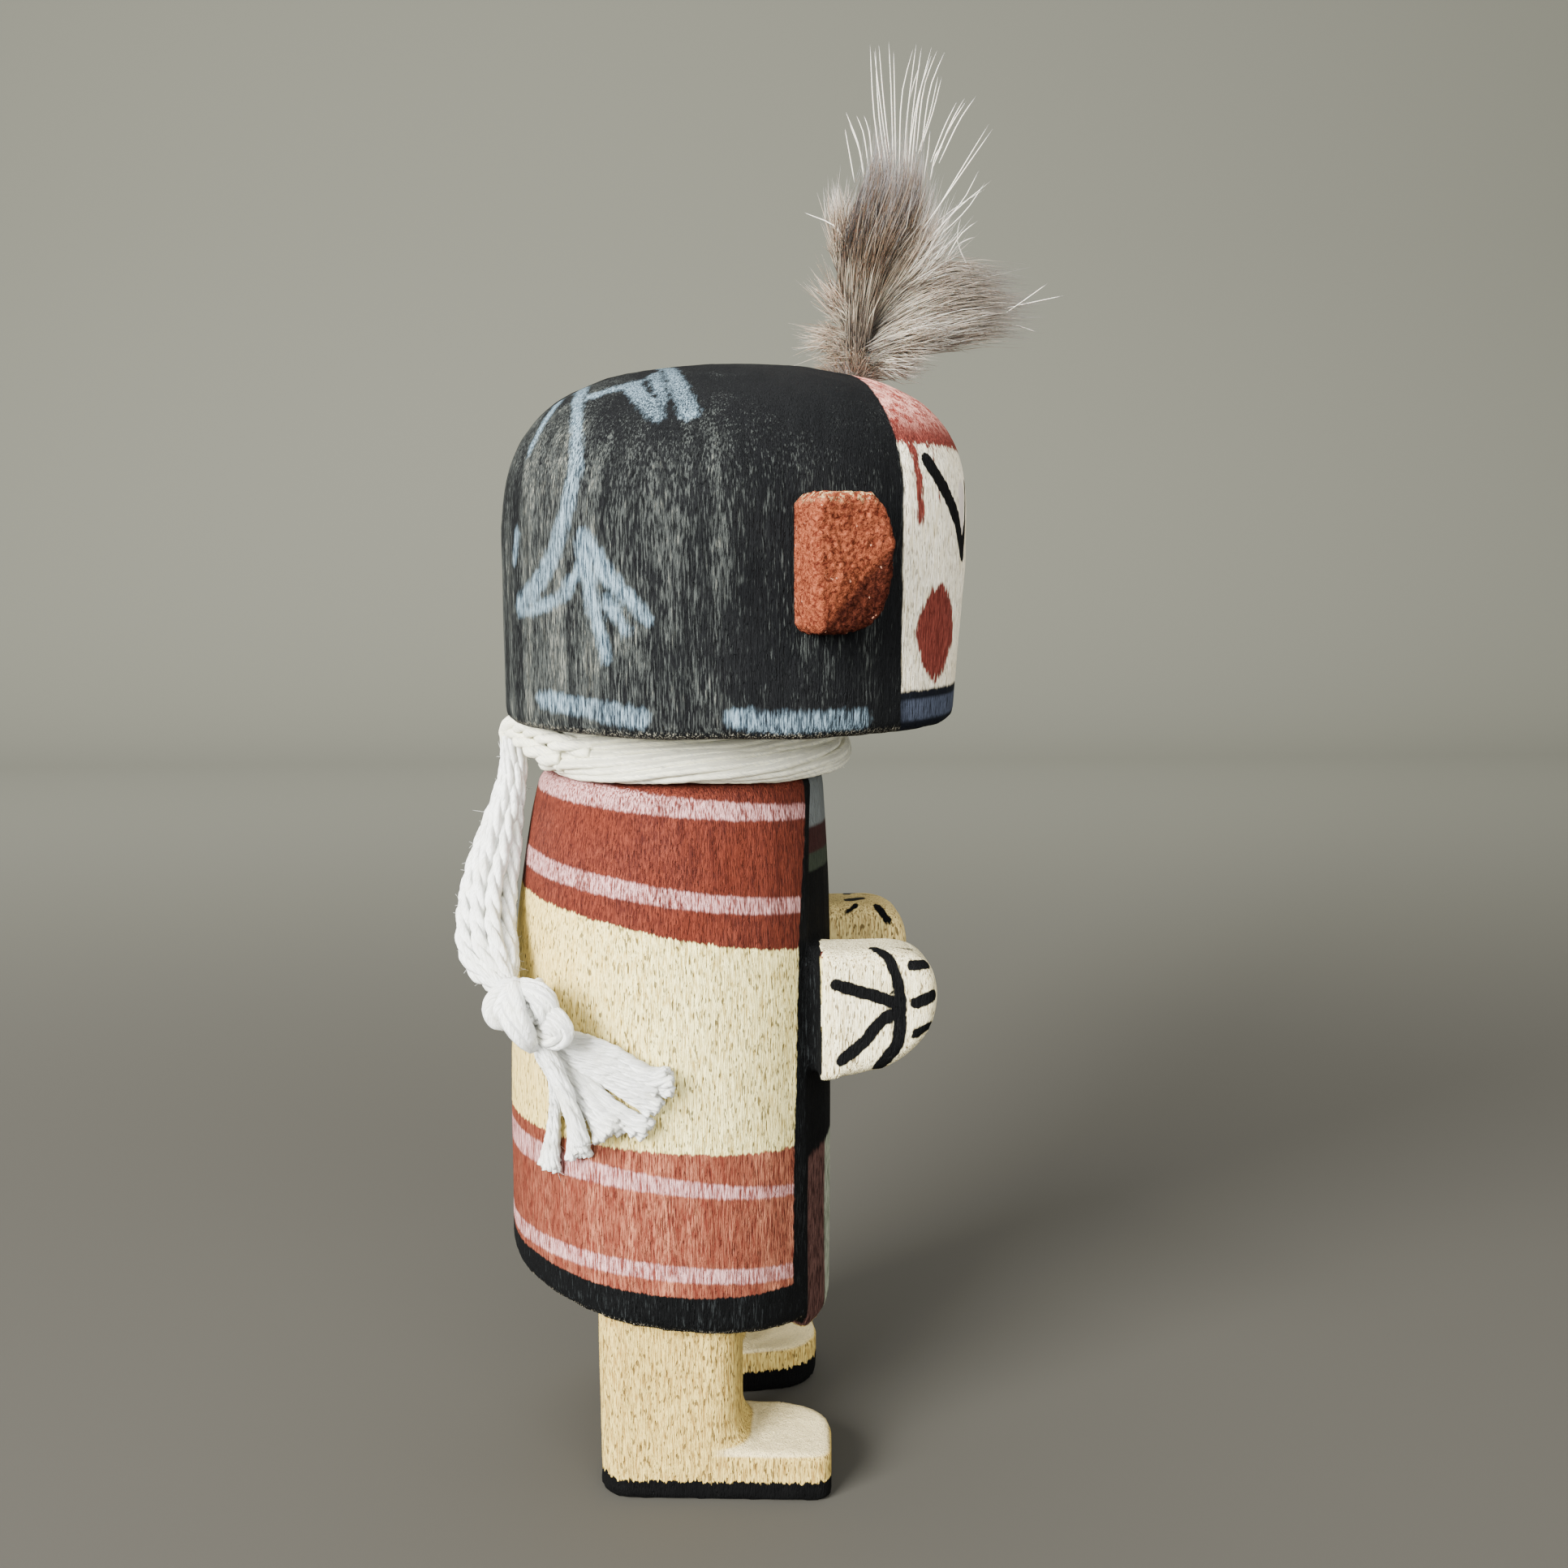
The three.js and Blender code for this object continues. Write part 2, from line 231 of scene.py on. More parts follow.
# Lays nodes in one tree and links them as they are made
class Bench:

    def __init__(self, tree):
        self.tree = tree

    def put(self, kind, **settings):
        node = self.tree.nodes.new(kind)
        for name, value in settings.items():
            setattr(node, name, value)
        return node

    def feed(self, socket, value):
        if isinstance(value, bpy.types.NodeSocket):
            self.tree.links.new(value, socket)
        else:
            socket.default_value = value

    def maths(self, operation, *values):
        node = self.put("ShaderNodeMath", operation=operation)
        for socket, value in zip(node.inputs, values):
            self.feed(socket, value)
        return node.outputs[0]

    # Smooth step from start to end as the value goes from low to high
    def window(self, value, low, high, start=0.0, end=1.0):
        node = self.put("ShaderNodeMapRange", interpolation_type="SMOOTHSTEP")
        given = {"Value": value, "From Min": low, "From Max": high, "To Min": start, "To Max": end}
        for name, number in given.items():
            self.feed(node.inputs[name], number)
        return node.outputs["Result"]

    def mix(self, factor, first, second):
        node = self.put("ShaderNodeMix", data_type="RGBA")
        for index, value in zip((0, 6, 7), (factor, first, second)):
            self.feed(node.inputs[index], value)
        return node.outputs[2]

    def scaled(self, vector, scale, location=(0, 0, 0)):
        node = self.put("ShaderNodeMapping")
        self.feed(node.inputs["Vector"], vector)
        node.inputs["Scale"].default_value = scale
        node.inputs["Location"].default_value = location
        return node.outputs[0]

    def noise(self, vector, scale=1.0, detail=2.0, roughness=0.5, distortion=0.0):
        node = self.put("ShaderNodeTexNoise")
        given = {"Vector": vector, "Scale": scale, "Detail": detail, "Roughness": roughness,
                 "Distortion": distortion}
        for name, value in given.items():
            self.feed(node.inputs[name], value)
        return node.outputs["Fac"]

    def value(self, name):
        return self.put("ShaderNodeAttribute", attribute_name=name).outputs["Fac"]

    def millimetres(self):
        place = self.put("ShaderNodeTexCoord").outputs["Object"]
        return self.scaled(place, (1000, 1000, 1000), (-axisX / mm, 0, 0))

    def group(self, group, **inputs):
        node = self.put("ShaderNodeGroup", node_tree=group)
        for name, value in inputs.items():
            self.feed(node.inputs[name], value)
        return node.outputs

    def bump(self, height, distance, strength):
        node = self.put("ShaderNodeBump")
        for name, value in {"Strength": strength, "Distance": distance, "Height": height}.items():
            self.feed(node.inputs[name], value)
        return node.outputs[0]


def newMaterial(name, roughness, specular, benchKind=Bench):
    material = bpy.data.materials.new(name)
    material.use_nodes = True
    shader = material.node_tree.nodes["Principled BSDF"]
    shader.inputs["Roughness"].default_value = roughness
    shader.inputs["Specular IOR Level"].default_value = specular
    return material, benchKind(material.node_tree), shader


def newGroup(name, inputs, outputs):
    tree = bpy.data.node_groups.new(name, "ShaderNodeTree")
    for label, kind in inputs:
        tree.interface.new_socket(label, in_out="INPUT", socket_type="NodeSocket" + kind)
    for label, kind in outputs:
        tree.interface.new_socket(label, in_out="OUTPUT", socket_type="NodeSocket" + kind)
    bench = Bench(tree)
    return tree, bench, bench.put("NodeGroupInput").outputs, bench.put("NodeGroupOutput").inputs


# Upright wood grain, noise drawn out along z: Streak is the fine wear of the paint, and Pore the short
# open vessels
def makeGrainGroup():
    tree, bench, given, result = newGroup(
        "uprightGrain",
        [("Vector", "Vector"), ("Width", "Float"), ("Length", "Float")],
        [("Streak", "Float"), ("Pore", "Float")])
    across = bench.maths("DIVIDE", 0.5, given["Width"])
    upward = bench.maths("DIVIDE", 0.5, given["Length"])
    size = bench.put("ShaderNodeCombineXYZ")
    for socket, value in zip(size.inputs, (across, across, upward)):
        bench.feed(socket, value)
    stretch = bench.put("ShaderNodeVectorMath", operation="MULTIPLY")
    bench.feed(stretch.inputs[0], given["Vector"])
    bench.feed(stretch.inputs[1], size.outputs[0])
    place = stretch.outputs[0]
    bench.feed(result["Streak"], bench.noise(place, 1.0, 3, 0.6, 0.15))
    vessels = bench.noise(bench.scaled(place, (1.3, 1.3, 1.3), (7, 3, 5)), 1.0, 1, 0.4)
    bench.feed(result["Pore"], bench.window(vessels, 0.60, 0.68))
    return tree


grainGroup = makeGrainGroup()


yarn = {
    "white": tone(252, 253, 247),
    "neckWhite": tone(251, 248, 218),
    # painted shade for the creases between fibres
    "shade": tone(214, 214, 202),
    "stain": tone(228, 224, 196),
    "diameter": 4.0,                 # mm, of the whole tail
    "plies": 3,
    "plyOffset": 0.46,               # from the strand's middle, against its radius
    "plyRadius": 0.58,
    "twist": 1.05,                   # of the plies, radians a mm
    "tightTwist": 1.9,               # the same in the tassel
    "fuzz": {"yarn_tail": 900, "yarn_knot": 170, "yarn_tassel": 420, "yarn_neck_wrap": 600},
    "fuzzLength": 0.7,               # mm
    "fuzzRadius": 0.018,
}

tailRoute = [
    # mm, from the nape to the knot and on to the robe
    (-12.5, -1.1, 57.1), (-12.8, -1.6, 55.3), (-13.2, -2.2, 53.5), (-13.6, -3.0, 51.7),
    (-14.0, -3.9, 49.8), (-14.3, -5.0, 48.0), (-14.3, -6.2, 46.2), (-14.1, -7.4, 44.6),
    (-13.5, -8.6, 43.2), (-12.6, -10.0, 42.0), (-11.6, -11.3, 41.1), (-10.7, -12.2, 40.2),
    (-9.8, -12.8, 38.9), (-9.0, -13.2, 37.4), (-8.2, -13.5, 35.6), (-7.6, -13.7, 34.0),
    (-7.0, -13.9, 32.2), (-6.6, -14.0, 30.8),
]
tailStart = (-12.3, -0.9, 59.9)      # inside the loop over the neck wrap


# Fibres are noise on share and turn, slanted as the twist lays them; the creases between them get painted
# shade
def makeYarnMaterial(name, base):
    material, bench, shader = newMaterial(name, 0.95, 0.05)
    share = bench.value("share")
    slanted = bench.maths("MULTIPLY_ADD", share, -1.5, bench.value("turn"))
    around = bench.put("ShaderNodeCombineXYZ")
    sine, cosine = bench.maths("SINE", slanted), bench.maths("COSINE", slanted)
    for socket, value in zip(around.inputs, (share, sine, cosine)):
        bench.feed(socket, value)
    fibres = bench.noise(bench.scaled(around.outputs[0], (1.2, 4.5, 4.5)), 1.0, 4, 0.7, 0.3)
    blotch = bench.noise(bench.millimetres(), 0.55, 2, 0.5)
    # painted shade: the creases between the fibres darken to the shade tone
    colour = bench.mix(bench.window(fibres, 0.34, 0.54), yarn["shade"], base)
    colour = bench.mix(bench.window(blotch, 0.40, 0.75, 0, 0.4), colour, yarn["stain"])
    bench.feed(shader.inputs["Base Color"], colour)
    bench.feed(shader.inputs["Normal"], bench.bump(fibres, 0.0002, 0.9))
    shader.inputs["Sheen Weight"].default_value = 0.15
    shader.inputs["Sheen Roughness"].default_value = 0.6
    return material


cottonYarn = makeYarnMaterial("cottonYarn", yarn["white"])
cottonYarnNeck = makeYarnMaterial("cottonYarnNeck", yarn["neckWhite"])


# Soft yarn round many lines: the radius swells by slow noise, and fine noise roughens the skin
def softTubes(lines, radii, sides, seed, rough=0.03):
    reach = carried(lines)[0]
    count, steps = lines.shape[:2]
    spots = np.stack([reach.ravel() * 0.8, np.repeat(np.arange(count) * 7.3, steps), 0 * reach.ravel()], -1)
    swell = 1 + 0.10 * softNoise(spots, 1.0, seed).reshape(count, steps)
    points, faces, share, turn, strand = tubes(lines, np.asarray(radii) * swell, sides)
    points = points + rough * np.stack([softNoise(points, 0.28, seed + k) for k in (50, 51, 52)], -1)
    return points, faces, {"share": share * reach[:, -1][strand], "turn": turn}


# Soft rope: ply k runs at offset x r (cos a normal + sin a side), where a = 2 pi k / plies - twist x length
def plied(lines, radii, twist, seed, sides=9):
    radii = np.broadcast_to(radii, lines.shape[:2])
    reach, normal, side = carried(lines)
    ownStart = 1.9 * np.arange(len(lines))[:, None] + seed
    parts = []
    for k in range(yarn["plies"]):
        a = (2 * np.pi * k / yarn["plies"] - twist * reach + ownStart)[..., None]
        own = lines + yarn["plyOffset"] * radii[..., None] * (np.cos(a) * normal + np.sin(a) * side)
        parts.append(softTubes(own, radii * yarn["plyRadius"], sides, seed * 7 + k, 0.05))
    return parts


# Directions at each point of a line: along it, outward from the robe's axis and square to it, sideways
def outwardFrame(line):
    along = unit(np.gradient(line, axis=0))
    out = unit(line * (1, 1, 0))
    out = unit(out - (out * along).sum(-1, keepdims=True) * along)
    return along, out, np.cross(along, out)


# Bundle of fine strands in an oval round a line, with a core inside: strand k runs at
# 0.68 r (cos a side + flat sin a out), where a = 2 pi (k / count + turns x share)
def brush(line, radius, count, turns, flat, seed, ends=0.0, twisted=False):
    share = np.linspace(0, 1, len(line))
    along, out, side = outwardFrame(line)
    rng = np.random.default_rng(seed)
    k = np.arange(count)[:, None]
    a = 2 * np.pi * (k / count + turns * share) + 0.25 * np.sin(5 * share + 2.3 * k)
    reach = 0.68 * radius * (1 + 0.12 * np.sin(7 * share + 1.7 * k))
    lines = line + (reach * np.cos(a))[..., None] * side + (flat * reach * np.sin(a))[..., None] * out
    cut = ends * (share ** 4)[:, None] * along[-1]                 # the cut ends aren't level
    lines = lines + rng.uniform(-1, 0.6, (count, 1, 1)) * cut
    own = np.broadcast_to(radius * 0.42 * np.sqrt(8 / count), (count, len(line)))
    core = softTubes((line - 0.8 * cut)[None], (radius * 0.62 * flat)[None], 10, seed + 3)
    if twisted:
        return plied(lines, own * 1.12, yarn["tightTwist"], seed, 6) + [core]
    return [softTubes(lines, own, 9, seed), core]


# Loose fibres: three-sided hairs that leave random points of the surface along t and bend over by t^2
def fuzz(points, normals, count, seed):
    rng = np.random.default_rng(seed)
    pick = rng.integers(0, len(points), count)
    start, out = points[pick][:, None], normals[pick][:, None]
    lean = unit(rng.normal(size=(count, 3)))[:, None]
    size = yarn["fuzzLength"] * rng.uniform(0.3, 1, (count, 1, 1))
    bend = 0.5 * rng.normal(size=(count, 1, 3))
    t = np.linspace(0, 1, 5)[None, :, None]
    lines = start - 0.08 * out + size * (t * unit(0.35 * out + 0.8 * lean) + t ** 2 * bend)
    radii = yarn["fuzzRadius"] * np.array([1, 1, 0.9, 0.7, 0.3])
    hairs, faces, share, turn, _ = tubes(lines, radii, 3)
    return hairs, faces, {"share": share, "turn": turn}


def surfaceNormals(points, faces):
    corner = points[faces]
    face = np.cross(corner[:, 1] - corner[:, 0], corner[:, 2] - corner[:, 0])
    normal = np.zeros_like(points)
    for k in range(3):
        np.add.at(normal, faces[:, k], face)
    return unit(normal)


# Joins strands into one piece and adds its loose fibres
def yarnPiece(name, parts, material, seed):
    strands = merged(parts)
    hairs = fuzz(strands[0], surfaceNormals(*strands[:2]), yarn["fuzz"][name], seed)
    points, faces, values = merged([strands, hairs])
    piece = makePiece(name + "_strands", points, faces, material, values)
    standFor(piece, name)
    return piece


# Rays through photo pixels: forward + right (column - 966) / focal - up (row - 966) / focal, in mm
def photoRays(pixels):
    pixels = np.asarray(pixels, float)
    forward = unit(np.array(photo["forward"]))
    right = unit(np.cross(forward, (0, 0, 1)))
    up = np.cross(right, forward)
    across, down = (pixels[..., :1] - photo["size"] / 2), (pixels[..., 1:2] - photo["size"] / 2)
    return forward + (across * right - down * up) / photo["focal"]


# Points behind photo pixels on the upright plane of that y
def atDepth(pixels, y):
    ray, eye = photoRays(pixels), np.array(photo["eye"])
    return eye + ray * ((np.asarray(y) - eye[1]) / ray[..., 1])[..., None]


# Points behind photo pixels on the upright drum of that radius about the robe's axis, on the near side
def onDrum(pixels, radius):
    ray, eye = photoRays(pixels), np.array(photo["eye"])
    a = (ray[..., :2] ** 2).sum(-1)
    b = (ray[..., :2] * eye[:2]).sum(-1)
    c = (eye[:2] ** 2).sum() - np.asarray(radius) ** 2
    t = (-b - np.sqrt(np.maximum(b * b - a * c, 0))) / a
    return eye + ray * t[..., None]


# Twisted strands side by side round the route: strand k sits at its own place in an oval, which widens
# as the strands loosen and closes again in the knot
def makeTail():
    steps = 170
    middle = resampled([tailStart] + tailRoute, steps)
    share = np.linspace(0, 1, steps)
    _, out, side = outwardFrame(middle)
    spread = 0.62 + 1.16 * smoothStep(share, 0.04, 0.44) - 1.42 * smoothStep(share, 0.50, 0.63)
    around = np.linspace(0, 2 * np.pi, 8, endpoint=False) + 0.2
    inner = [(0.25, 0.1), (-0.3, -0.2)]
    spots = np.concatenate([np.stack([np.cos(around), np.sin(around)], -1), inner])
    turn = 0.9 * share
    lines = []
    for k, (a, b) in enumerate(spots):
        wander = 0.10 * np.sin(9 * share + 2.1 * k)
        u = a * np.cos(turn) - b * np.sin(turn) + wander
        v = a * np.sin(turn) + b * np.cos(turn) - wander
        lines.append(middle + spread[:, None] * (u[:, None] * out * 1.02 + v[:, None] * side * 0.85))
    radius = 0.50 + 0.14 * smoothStep(share, 0.05, 0.35) - 0.30 * smoothStep(share, 0.55, 0.68)
    return yarnPiece("yarn_tail", plied(np.stack(lines), radius, yarn["twist"], 2), cottonYarn, 5)


knotStrands = [
    # photo pixels, y at the ends and at the middle, radius in mm, strands, flatness
    ([(641, 1214), (626, 1219), (613, 1233), (614, 1248), (628, 1260)], -12.4, -13.6, 0.95, 7, 0.8),
    ([(630, 1219), (634, 1238), (643, 1260), (654, 1284)], -13.0, -14.6, 1.15, 9, 0.7),
    ([(644, 1214), (661, 1216), (675, 1228), (676, 1242), (665, 1250)], -12.6, -14.2, 0.80, 6, 0.8),
    ([(656, 1222), (668, 1232), (671, 1246), (664, 1256)], -13.0, -14.4, 0.62, 5, 0.8),
    ([(661, 1252), (680, 1245), (693, 1256), (694, 1267), (680, 1273), (664, 1270)],
     -12.8, -14.6, 0.85, 8, 0.8),
    ([(668, 1262), (681, 1258), (688, 1266), (676, 1272)], -13.2, -14.7, 0.55, 5, 0.8),
]
knotMiddle = (-10.8, -12.0, 40.6)


# Bundles laid in bows over a ball, each bulging towards the viewer by sin of its share, and rings behind
def makeKnot():
    parts = []
    share = np.linspace(0, 1, 44)
    for k, (pixels, ends, bulge, radius, count, flat) in enumerate(knotStrands):
        line = resampled(atDepth(np.array(pixels), np.full(len(pixels), ends)), 44)
        line[:, 1] += (bulge - ends) * np.sin(np.pi * share) ** 0.8
        swell = 0.72 + 0.28 * np.sin(np.pi * share) ** 0.7
        parts += brush(line, radius * swell, count, 0.25, flat, 30 + k)
    middle = np.array(knotMiddle)
    turn = np.linspace(0, 2 * np.pi, 44)
    down = unit(np.array([0.5, -0.4, -0.77]))
    side = unit(np.cross(down, (0, 0, 1)))
    for k, (reach, shift, radius) in enumerate([(1.35, -0.8, 0.85), (1.15, 0.7, 0.80)]):
        circle = np.cos(turn)[:, None] * side + np.sin(turn)[:, None] * np.cross(down, side)
        ring = middle + down * shift + reach * circle
        parts += brush(ring, radius + 0 * turn, 7, 0.5, 1.0, 40 + k)
    t = np.linspace(0.02, np.pi - 0.02, 14)[:, None]
    around = turn[:-1]
    ball = np.stack([1.5 * np.sin(t) * np.cos(around), 1.4 * np.sin(t) * np.sin(around),
                     -1.7 * np.cos(t) + 0 * around], -1)
    points, faces = shell(middle + ball)
    zero = np.zeros(len(points))
    parts.append((points, faces, {"share": zero, "turn": zero}))
    return yarnPiece("yarn_knot", parts, cottonYarn, 6)


tasselStrands = [
    # photo pixels from the knot to the cut end; radius in mm at the start, middle and end; strands;
    # how far it lies above the others, and how uneven its cut is, in mm
    ([(662, 1284), (668, 1305), (680, 1325), (684, 1345), (683, 1384), (680, 1415), (678, 1436)],
     (0.34, 0.48, 0.92), 7, 0, 0.55),
    ([(664, 1284), (676, 1312), (692, 1335), (706, 1362), (711, 1396), (714, 1424)],
     (0.34, 0.60, 1.02), 8, 0, 0.55),
    ([(670, 1286), (700, 1318), (718, 1345), (734, 1368), (748, 1388), (754, 1398)],
     (0.40, 0.78, 1.42), 9, 0, 0.55),
    ([(676, 1284), (712, 1308), (728, 1334), (750, 1360), (774, 1378), (796, 1392)],
     (0.36, 0.50, 0.98), 7, 0, 0.55),
    ([(678, 1280), (704, 1302), (736, 1319), (772, 1342), (798, 1358), (812, 1368)],
     (0.45, 0.78, 0.85), 8, 0, 0.55),
    ([(683, 1276), (718, 1284), (754, 1299), (786, 1320), (806, 1330), (826, 1332)],
     (0.50, 0.72, 1.10), 8, 0, 0.55),
    ([(680, 1279), (710, 1294), (744, 1310), (782, 1334), (816, 1352)], (0.42, 0.60, 0.70), 6, 0.35, 0.55),
    ([(660, 1284), (667, 1306), (682, 1320), (704, 1326), (716, 1334)], (0.30, 0.34, 0.30), 5, 0.35, 0),
]


# Cut ends that fan out over the robe: flat bundles of twisted strands on a drum that widens to the knot
def makeTassel():
    parts = []
    share = np.linspace(0, 1, 40)
    for k, (pixels, (first, half, last), count, lift, cut) in enumerate(tasselStrands):
        radius = np.interp(share, [0, 0.55, 0.85, 1], [first, half, 0.5 * (half + last), last])
        drum = robeRadius + 0.05 + 0.62 * radius + 0.5 * (1 - share) ** 2 + lift
        line = onDrum(resampled(pixels, 40), drum)
        parts += brush(line, radius, count, 0.12, 0.62, 50 + k, cut, twisted=True)
    return yarnPiece("yarn_tassel", parts, cottonYarn, 7)


neckRolls = [(11.4, 58.75, 1.42), (11.15, 60.35, 1.15)]         # ring radius, height and roll radius in mm
neckLeads = [
    # mm along the strands that lead over the rolls to the tail, then their radius
    ([(-5.6, -9.2, 59.6), (-8.2, -8.0, 60.2), (-10.4, -5.2, 60.8), (-12.1, -2.4, 61.0),
      (-12.8, -1.2, 60.4), (-12.7, -1.0, 59.0), (-12.5, -1.2, 57.6)], 0.72),
    ([(-8.0, -7.4, 58.6), (-10.0, -5.4, 59.2), (-11.6, -3.0, 60.0), (-12.4, -1.4, 60.4),
      (-12.4, -0.8, 59.4), (-12.2, -0.8, 57.8)], 0.80),
    ([(-9.5, 2.0, 60.0), (-11.0, 0.8, 60.6), (-12.3, 0.0, 60.8), (-12.9, -0.4, 59.9),
      (-12.6, -0.9, 58.0)], 0.62),
]


# Two turns round the neck, circles that wander a little, and the strands that lead over to the tail
def makeNeckWrap():
    turn = np.linspace(0, 2 * np.pi, 240)
    parts = []
    for k, (ring, height, radius) in enumerate(neckRolls):
        wander = 0.12 * np.sin(3 * turn + k) + 0.07 * np.sin(7 * turn + 2 * k)
        reach = ring + 0.5 * wander
        line = np.stack([neckX + reach * np.cos(turn), reach * np.sin(turn), height + 0.8 * wander], -1)
        parts += brush(line, radius + 0 * turn, 15, 1.4, 1.0, 20 + k)
    for k, (lead, radius) in enumerate(neckLeads):
        parts += plied(resampled(lead, 60)[None], radius, yarn["twist"], 24 + k)
    return yarnPiece("yarn_neck_wrap", parts, cottonYarnNeck, 8)


tail = makeTail()
knot = makeKnot()
tassel = makeTassel()
makeNeckWrap()
print("yarn made")


figure = {
    # mm
    "headTop": 88.4, "headBottom": 61.3, "headRadius": 18.3, "headX": 5.35,
    "domeFront": 12.0, "domeBack": 15.0, "chinRecess": 0.9, "chinHeight": 12.0, "rim": 0.9,
    "neckRadius": 9.8, "neckLow": 55.0, "neckHigh": 63.0,
    "robeTop": 57.2, "hemHeight": 15.1, "hemSlope": 0.165, "dressHem": 12.0, "capeThickness": 0.3,
    "heel": -5.9, "toe": 12.7, "shin": 5.4, "legInner": 3.5, "legOuter": 11.3, "footHeight": 4.2,
    "handY": 8.3, "handWidth": 6.2, "wristY": 6.9, "wristWidth": 3.2,
    "voxel": 0.372,                   # of the joined surface
    "facet": 0.10, "groove": 0.035,   # depth of the knife work
    # degrees
    "capeEdge": 36.0,                 # off the front
    "footSplay": 5.0,
}


# Radius R less 1.9 s^4 and forward shift 1.2 s^3, where s runs from 0 at the hem to 1 at the shoulders
def robeAt(height):
    s = np.clip((height - figure["hemHeight"]) / (figure["robeTop"] - figure["hemHeight"]), 0, 1)
    return robeRadius - 1.9 * s ** 4, 1.2 * s ** 3


# Drum with a rounded lower rim; above the shoulder r = R cos^(2/3) t and z = shoulder + h sin^(2/3) t,
# with the h of the front growing to that of the back
def headRings(sides=200):
    angle = np.linspace(0, 2 * np.pi, sides, endpoint=False)
    radius, rim, bottom, top = (figure[key] for key in ("headRadius", "rim", "headBottom", "headTop"))
    front, back, chin = figure["domeFront"], figure["domeBack"], figure["chinHeight"]
    rimTurn = np.linspace(0, np.pi / 2, 7)
    t = np.linspace(0, 0.4998 * np.pi, 60)
    shoulder = top - front
    r = np.concatenate([radius - rim * (1 - np.sin(rimTurn)), [radius], radius * np.cos(t) ** (2 / 3)])
    z = np.concatenate([bottom + rim * (1 - np.cos(rimTurn)), [bottom + chin],
                        shoulder + front * np.sin(t) ** (2 / 3)])
    facing = np.cos(angle)
    r, z = r[:, None], z[:, None] + 0 * facing
    depth = back + (front - back) * (1 + facing) / 2
    z = np.where(z > shoulder, top - (top - z) * depth / front, z)
    below = np.clip((bottom + chin - z) / chin, 0, None)
    x = figure["headX"] + r * facing - figure["chinRecess"] * below * np.maximum(0, facing) * r / radius
    return np.stack([x, r * np.sin(angle), z], -1)


# Wall from the sloping hem to the shoulders; inside the open front the dress lies the cape's thickness
# deeper, and both ends are drawn in by 0.35 (1 - share)^2
def robeRings(sides=360, rows=70):
    angle = np.linspace(-np.pi, np.pi, sides, endpoint=False)
    offFront = np.abs(np.degrees(angle)) - figure["capeEdge"]
    openFront = 1 - smoothStep(offFront, -0.7, 0.7)
    low = figure["hemHeight"] - figure["hemSlope"] * robeRadius * np.cos(angle)
    low = low + (figure["dressHem"] - low) * openFront
    share = np.linspace(0, 1, rows)[:, None]
    z = low + (figure["robeTop"] - low) * share
    radius, shift = robeAt(z)
    fromEnd = np.minimum(1, np.minimum(share, 1 - share) * rows / 1.5)
    radius = radius - figure["capeThickness"] * openFront - 0.35 * (1 - fromEnd) ** 2
    return np.stack([shift + radius * np.cos(angle), radius * np.sin(angle), z], -1)


# Rectangle with its own radius at each corner, anticlockwise from the low corner
def roundedOutline(x0, y0, x1, y1, corners):
    centres = [(x0 + corners[0], y0 + corners[0]), (x1 - corners[1], y0 + corners[1]),
               (x1 - corners[2], y1 - corners[2]), (x0 + corners[3], y1 - corners[3])]
    parts = []
    for k, (centre, radius) in enumerate(zip(centres, corners)):
        a = np.linspace(0, np.pi / 2, 14) + (k - 2) * np.pi / 2
        parts.append(centre + radius * np.stack([np.cos(a), np.sin(a)], -1))
    return resampledLoop(np.concatenate(parts), 160)


# Evenly spaced points round a closed outline
def resampledLoop(outline, steps):
    closed = np.concatenate([outline, outline[:1]])
    reach = np.concatenate([[0], np.cumsum(np.linalg.norm(np.diff(closed, axis=0), axis=1))])
    even = np.linspace(0, reach[-1], steps, endpoint=False)
    return np.stack([np.interp(even, reach, closed[:, k]) for k in range(2)], -1)


# Plate over a flat outline; near each end the outline draws in by edge x (1 - sin a) as a quarter circle
def plateRings(outline, low, high, edge):
    ahead = np.roll(outline, -2, 0) - np.roll(outline, 2, 0)
    normal = unit(np.stack([ahead[:, 1], -ahead[:, 0]], -1))
    a = np.linspace(0, np.pi / 2, 6)
    inset = edge * (1 - np.sin(np.concatenate([a, a[::-1]])))
    rise = edge * (1 - np.cos(a))
    height = np.concatenate([low + rise, high - rise[::-1]])
    rings = outline - inset[:, None, None] * normal
    return np.concatenate([rings, np.broadcast_to(height[:, None, None], rings.shape[:2] + (1,))], -1)


